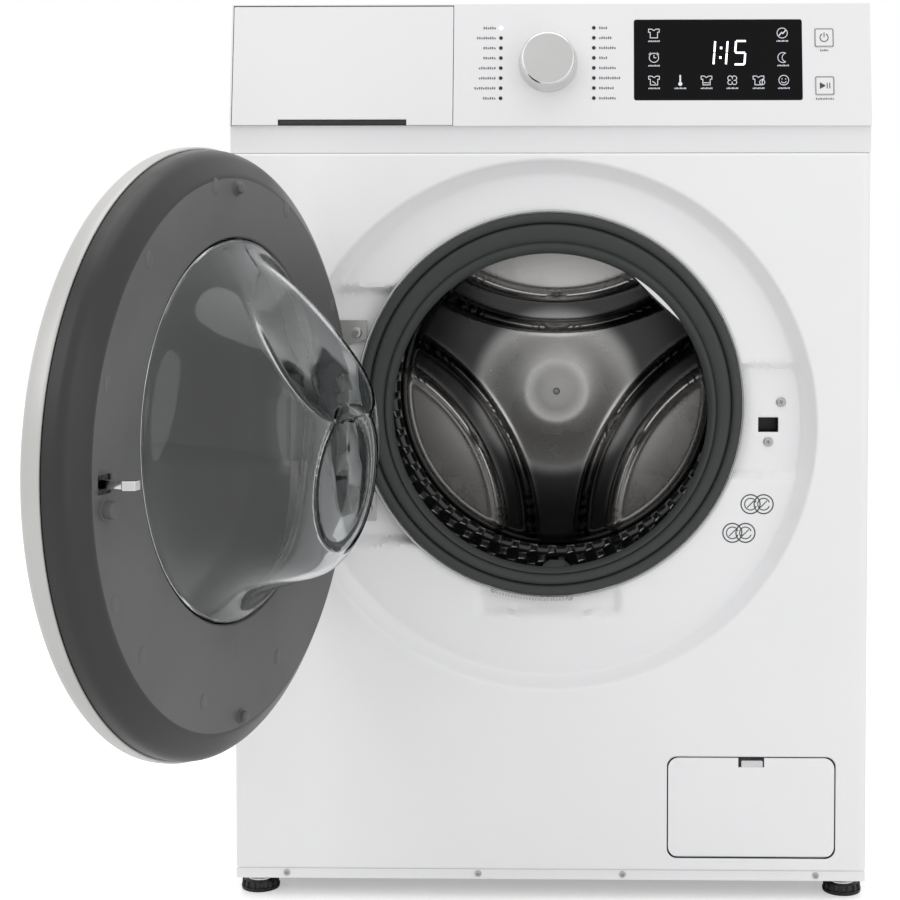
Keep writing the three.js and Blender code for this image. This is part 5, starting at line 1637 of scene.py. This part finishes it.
@dataclass
class Drum:
    """The steel drum: its pierced wall, rolled mouth and pressed back."""

    z: float = 453.5
    radius: float = 243.0
    mouth: float = 158.0
    front: float = 98.0
    back: float = 406.0
    plate: float = 171.0
    hub_rise: float = 9.5
    arc_centre: float = 329.0
    arc_inner: float = 219.0
    arc_outer: float = 255.0
    arc_turns: tuple[float, float, float] = (90.0, 210.0, 330.0)
    wall_rows: int = 24
    wall_columns: int = 112
    plate_steps: int = 216

    def build(self) -> None:
        """Make and dress every drum piece."""
        self.wall_sheet()
        self.mouth_ring()
        self.back_plate()
        for number in (1, 2, 3):
            refined(f"drum_lifter_{number}", f"lifter_{number}", "drum", palette.pale,
                    3.0, 4)
        bm = bmesh.new()
        screw_head(bm, 0.0, self.back - 4.6 - self.hub_rise, self.z, 4.0, 2.2)
        settle("hub_bolt", bm, "drum", [palette.hardware], datum.cabinet())
        log.info("drum done")

    def wall_sheet(self) -> None:
        """The drum's wall, pierced in staggered rows."""
        rows, columns = self.wall_rows, self.wall_columns
        y0, y1 = self.front + 41, self.back + 2
        bm = bmesh.new()
        lathe(bm, [(self.radius, y0 + (y1 - y0) * i / rows) for i in range(rows + 1)], columns, 0,
              self.z)
        outward(bm)
        cells = []
        for f in bm.faces:
            middle = f.calc_center_median()
            row = round((middle.y - y0) / (y1 - y0) * rows - 0.5)
            if (row + self.column(middle, columns)) % 2 == 0 and 0 < row < rows - 1:
                cells.append(f)
        self.pierce(bm, cells, 4.4)
        piece = settle("drum_wall", bm, "drum", [palette.steel], datum.cabinet(),
                       ["drum_shell"], 40.0)
        thicken(piece, 0.9)

    def column(self, middle: Vector, columns: int) -> int:
        """Which of the columns round the drum's axis a face's middle lies in."""
        return round(math.atan2(middle.z - self.z, middle.x) / (2 * math.pi) * columns - 0.5)

    @staticmethod
    def pierce(bm: bmesh.types.BMesh, cells: list, thickness: float) -> list[bmesh.types.BMVert]:
        """Open an eight-sided hole in each of the given faces.

        Args:
            bm: The mesh.
            cells: The faces to open.
            thickness: How much sheet is left round each hole.

        Returns:
            The vertices on the holes' edges.
        """
        bmesh.ops.inset_individual(bm, faces=cells, thickness=thickness, depth=0.0,
                                   use_even_offset=True)
        corners = [v for f in cells for v in f.verts]
        shortest = min(e.calc_length() for f in cells for e in f.edges)
        bevel(bm, corners, shortest * 0.28, 1, "VERTICES")
        holes = [f for f in bm.faces if len(f.verts) == 8 and f.calc_area() < 60]
        edge = {v for f in holes for v in f.verts}
        bmesh.ops.delete(bm, geom=holes, context="FACES")
        return [v for v in edge if v.is_valid]

    def mouth_ring(self) -> None:
        """The rolled lip and the cone behind it."""
        m = self.mouth
        path = smoothed([(m + 6.5, self.front + 4.4), (m + 2.2, self.front + 5.0),
                         (m + 0.6, self.front + 2.2),
                         (m + 3.0, self.front), (m + 8.6, self.front + 3.0),
                         (m + 28, self.front + 15),
                         (self.radius - 10, self.front + 30), (self.radius - 1.4, self.front + 36),
                         (self.radius - 0.8, self.front + 41)], 2)
        bm = bmesh.new()
        lathe(bm, wall(path, 1.2), 160, 0, self.z, closed=True)
        outward(bm)
        settle("drum_mouth", bm, "drum", [palette.steel], datum.cabinet(),
               ["drum_front"], 45.0)

    def relief(self, x: float, z: float) -> tuple[float, float]:
        """The pressed shape of the back plate.

        Args:
            x: Sideways place from the axis.
            z: Height from the axis.

        Returns:
            How far the sheet stands towards the front, and how much painted shade darkens it there, from 0 to 1.
        """
        reach = math.hypot(x, z)
        nearest = min(math.hypot(x - self.arc_centre * math.cos(t),
                                 z - self.arc_centre * math.sin(t))
                      for t in map(math.radians, self.arc_turns))
        hub = self.hub_rise * (1 - min(1.0, reach / 90) ** 2) ** 2 - 1.2 * (1 - ease(reach, 22, 38))
        ridge = 7.0 * math.exp(-((nearest - self.arc_inner) / 4.2) ** 2)
        ridge += 7.0 * math.exp(-((nearest - self.arc_outer) / 4.2) ** 2)
        segment = 1 - ease(nearest, self.arc_inner - 6, self.arc_inner + 2)
        out = hub + ridge * (1 - ease(reach, self.plate - 4, self.plate + 4)) + 4.0 * segment
        out += -4.0 * ease(reach, self.plate - 3, self.plate + 6)
        # Painted shade: the ground between the fields, the hub's middle and the rim are darkened in colour.
        shaded_ground = ease(nearest, self.arc_inner + 2, self.arc_inner + 8)
        dark = max(shaded_ground * ease(reach, 66, 104), 0.55 * (1 - ease(reach, 24, 44)))
        rim = ease(reach, self.plate, self.plate + 5)
        return out, max(dark, rim)

    def back_plate(self) -> None:
        """The pressed back with three raised fields left bright, a hub dome and a pierced rim; painted shade
        darkens the ground round the fields, the hub's middle and the rim.
        """
        bm = bmesh.new()
        steps = self.plate_steps
        radii = [0.0] + [2.0 + 2.6 * i for i in range(68)] + [181.0]
        rim = [181.0, 192.0, 203.0, 214.0, 225.0, 241.4]
        lathe(bm, [(r, 0.0) for r in radii], steps, 0, self.z)
        plate_faces = set(bm.faces)
        lathe(bm, [(r, 0.0) for r in rim], steps // 2, 0, self.z)
        rim_faces = [f for f in bm.faces if f not in plate_faces]
        # A layer of painted shade that the pressed_steel finish turns into a darker colour.
        painted_shade_layer = bm.verts.layers.float.new("painted_shade_field")
        for v in bm.verts:
            out, dark = self.relief(v.co.x, v.co.z - self.z)
            v.co.y = self.back - 6.0 - out
            v[painted_shade_layer] = dark
        cells = []
        for f in rim_faces:
            middle = f.calc_center_median()
            reach = math.hypot(middle.x, middle.z - self.z)
            row = sum(reach > r for r in rim[1:])
            if (row + self.column(middle, steps // 2)) % 2 == 0:
                cells.append(f)
        for v in self.pierce(bm, cells, 3.0):
            v[painted_shade_layer] = 0.0
        bmesh.ops.recalc_face_normals(bm, faces=bm.faces)
        origin = Vector((0, 0, self.z))
        face_along(bm, min(bm.faces, key=lambda f: (f.calc_center_median() - origin).length), -1)
        piece = settle("drum_back_plate", bm, "drum", [palette.pressed],
                       datum.cabinet(),
                       ["drum_back"], 60.0)
        thicken(piece, 1.2)


# ---------------------------------------------------------------- kept nodes, stage and camera


def dress_frame() -> None:
    """Give every CAD node that still shows the finish of its slot."""
    finishes = palette.by_slot()
    slots = {part["node"]: part["material_slot"] for part in frame["record"]["subparts"]}
    for name, node in frame["nodes"].items():
        node.data.materials.clear()
        node.data.materials.append(finishes[slots[name]].material())
    log.info("frame dressed")


@dataclass
class Studio:
    """The pale floor, the soft lights and the camera."""

    camera_at: Point = (33.4, -1665.1, 606.1)
    lens: float = 71.32
    pitch: float = 2.52
    yaw: float = 1.025
    shift: tuple[float, float] = (-0.115, -0.125)
    floor_size: float = 6000.0
    floor_colour: Point = (0.92, 0.92, 0.92)
    floor_glow: float = 0.42
    surround_light: float = 0.88
    surround_seen: float = 1.0

    def build(self) -> None:
        """Set the floor, world, lights and camera."""
        self.floor()
        self.world()
        self.lights()
        self.camera()

    def floor(self) -> None:
        """A wide pale floor that looks a little brighter than the light it gives."""
        bm = bmesh.new()
        bmesh.ops.create_grid(bm, x_segments=1, y_segments=1, size=self.floor_size)
        mesh = bpy.data.meshes.new("studio_floor")
        bm.transform(datum.cabinet())
        bm.to_mesh(mesh)
        bm.free()
        paint = LampFinish("studio_floor_paint", self.floor_colour, self.floor_glow,
                           camera_only=True)
        mesh.materials.append(paint.material())
        floor = bpy.data.objects.new("studio_floor", mesh)
        bpy.context.scene.collection.objects.link(floor)

    def world(self) -> None:
        """A plain white surround that lights the machine a little less than it shows."""
        world = bpy.context.scene.world or bpy.data.worlds.new("studio")
        bpy.context.scene.world = world
        world.use_nodes = True
        nodes = world.node_tree.nodes
        g = Graph(world.node_tree)
        seen = g.add("LightPath").outputs["Is Camera Ray"]
        nodes["Background"].inputs["Color"].default_value = (1.0, 1.0, 1.0, 1.0)
        strength = g.spread(seen, 0.0, 1.0, self.surround_light, self.surround_seen)
        g.feed(nodes["Background"].inputs["Strength"], strength)
        bpy.context.scene.view_settings.view_transform = "Standard"

    @staticmethod
    def area(name: str, at: Point, aim: Point, size: tuple[float, float], power: float) -> None:
        """Add a soft oval light.

        Args:
            name: The light's name.
            at: Its place in millimetres.
            aim: The point that it faces.
            size: Its width and height in metres.
            power: Its power in watts.
        """
        data = bpy.data.lights.new(name, "AREA")
        data.shape = "ELLIPSE"
        data.size, data.size_y = size
        data.energy = power
        lamp = bpy.data.objects.new(name, data)
        lamp.location = datum.at(*at)
        lamp.rotation_euler = (datum.at(*aim) - lamp.location).to_track_quat("-Z", "Y").to_euler()
        bpy.context.scene.collection.objects.link(lamp)

    def lights(self) -> None:
        """Two soft sources in front and one above."""
        self.area("key_light", (-1500, -1900, 1900), (0, 100, 450), (1.4, 1.8), 5.0)
        self.area("fill_light", (1700, -1500, 900), (0, 100, 450), (1.2, 2.0), 3.0)
        self.area("top_light", (0, -200, 2300), (0, 200, 400), (2.4, 1.6), 8.0)

    def camera(self) -> None:
        """The camera at standing distance, a little above the door's middle."""
        data = bpy.data.cameras.new("studio_camera")
        data.lens = self.lens
        data.sensor_width = 36.0
        data.shift_x, data.shift_y = self.shift
        camera = bpy.data.objects.new("studio_camera", data)
        camera.location = datum.at(*self.camera_at)
        camera.rotation_euler = (math.radians(90 - self.pitch), 0.0, math.radians(self.yaw))
        bpy.context.scene.collection.objects.link(camera)
        bpy.context.scene.camera = camera


def corners(bounds: object) -> list[list[float]]:
    """Turn a pair of corners into plain lists of numbers."""
    return [[float(v) for v in corner] for corner in bounds]


def main() -> None:
    """Build the machine in order, then the studio."""
    logging.basicConfig(level=logging.INFO, format="%(name)s: %(message)s")
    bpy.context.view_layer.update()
    dress_frame()
    for part in (Cabinet(), Console(), Door(), Gasket(), Drum()):
        part.build()
    Studio().build()
    log.info("size written")


if __name__ == "__main__":
    main()
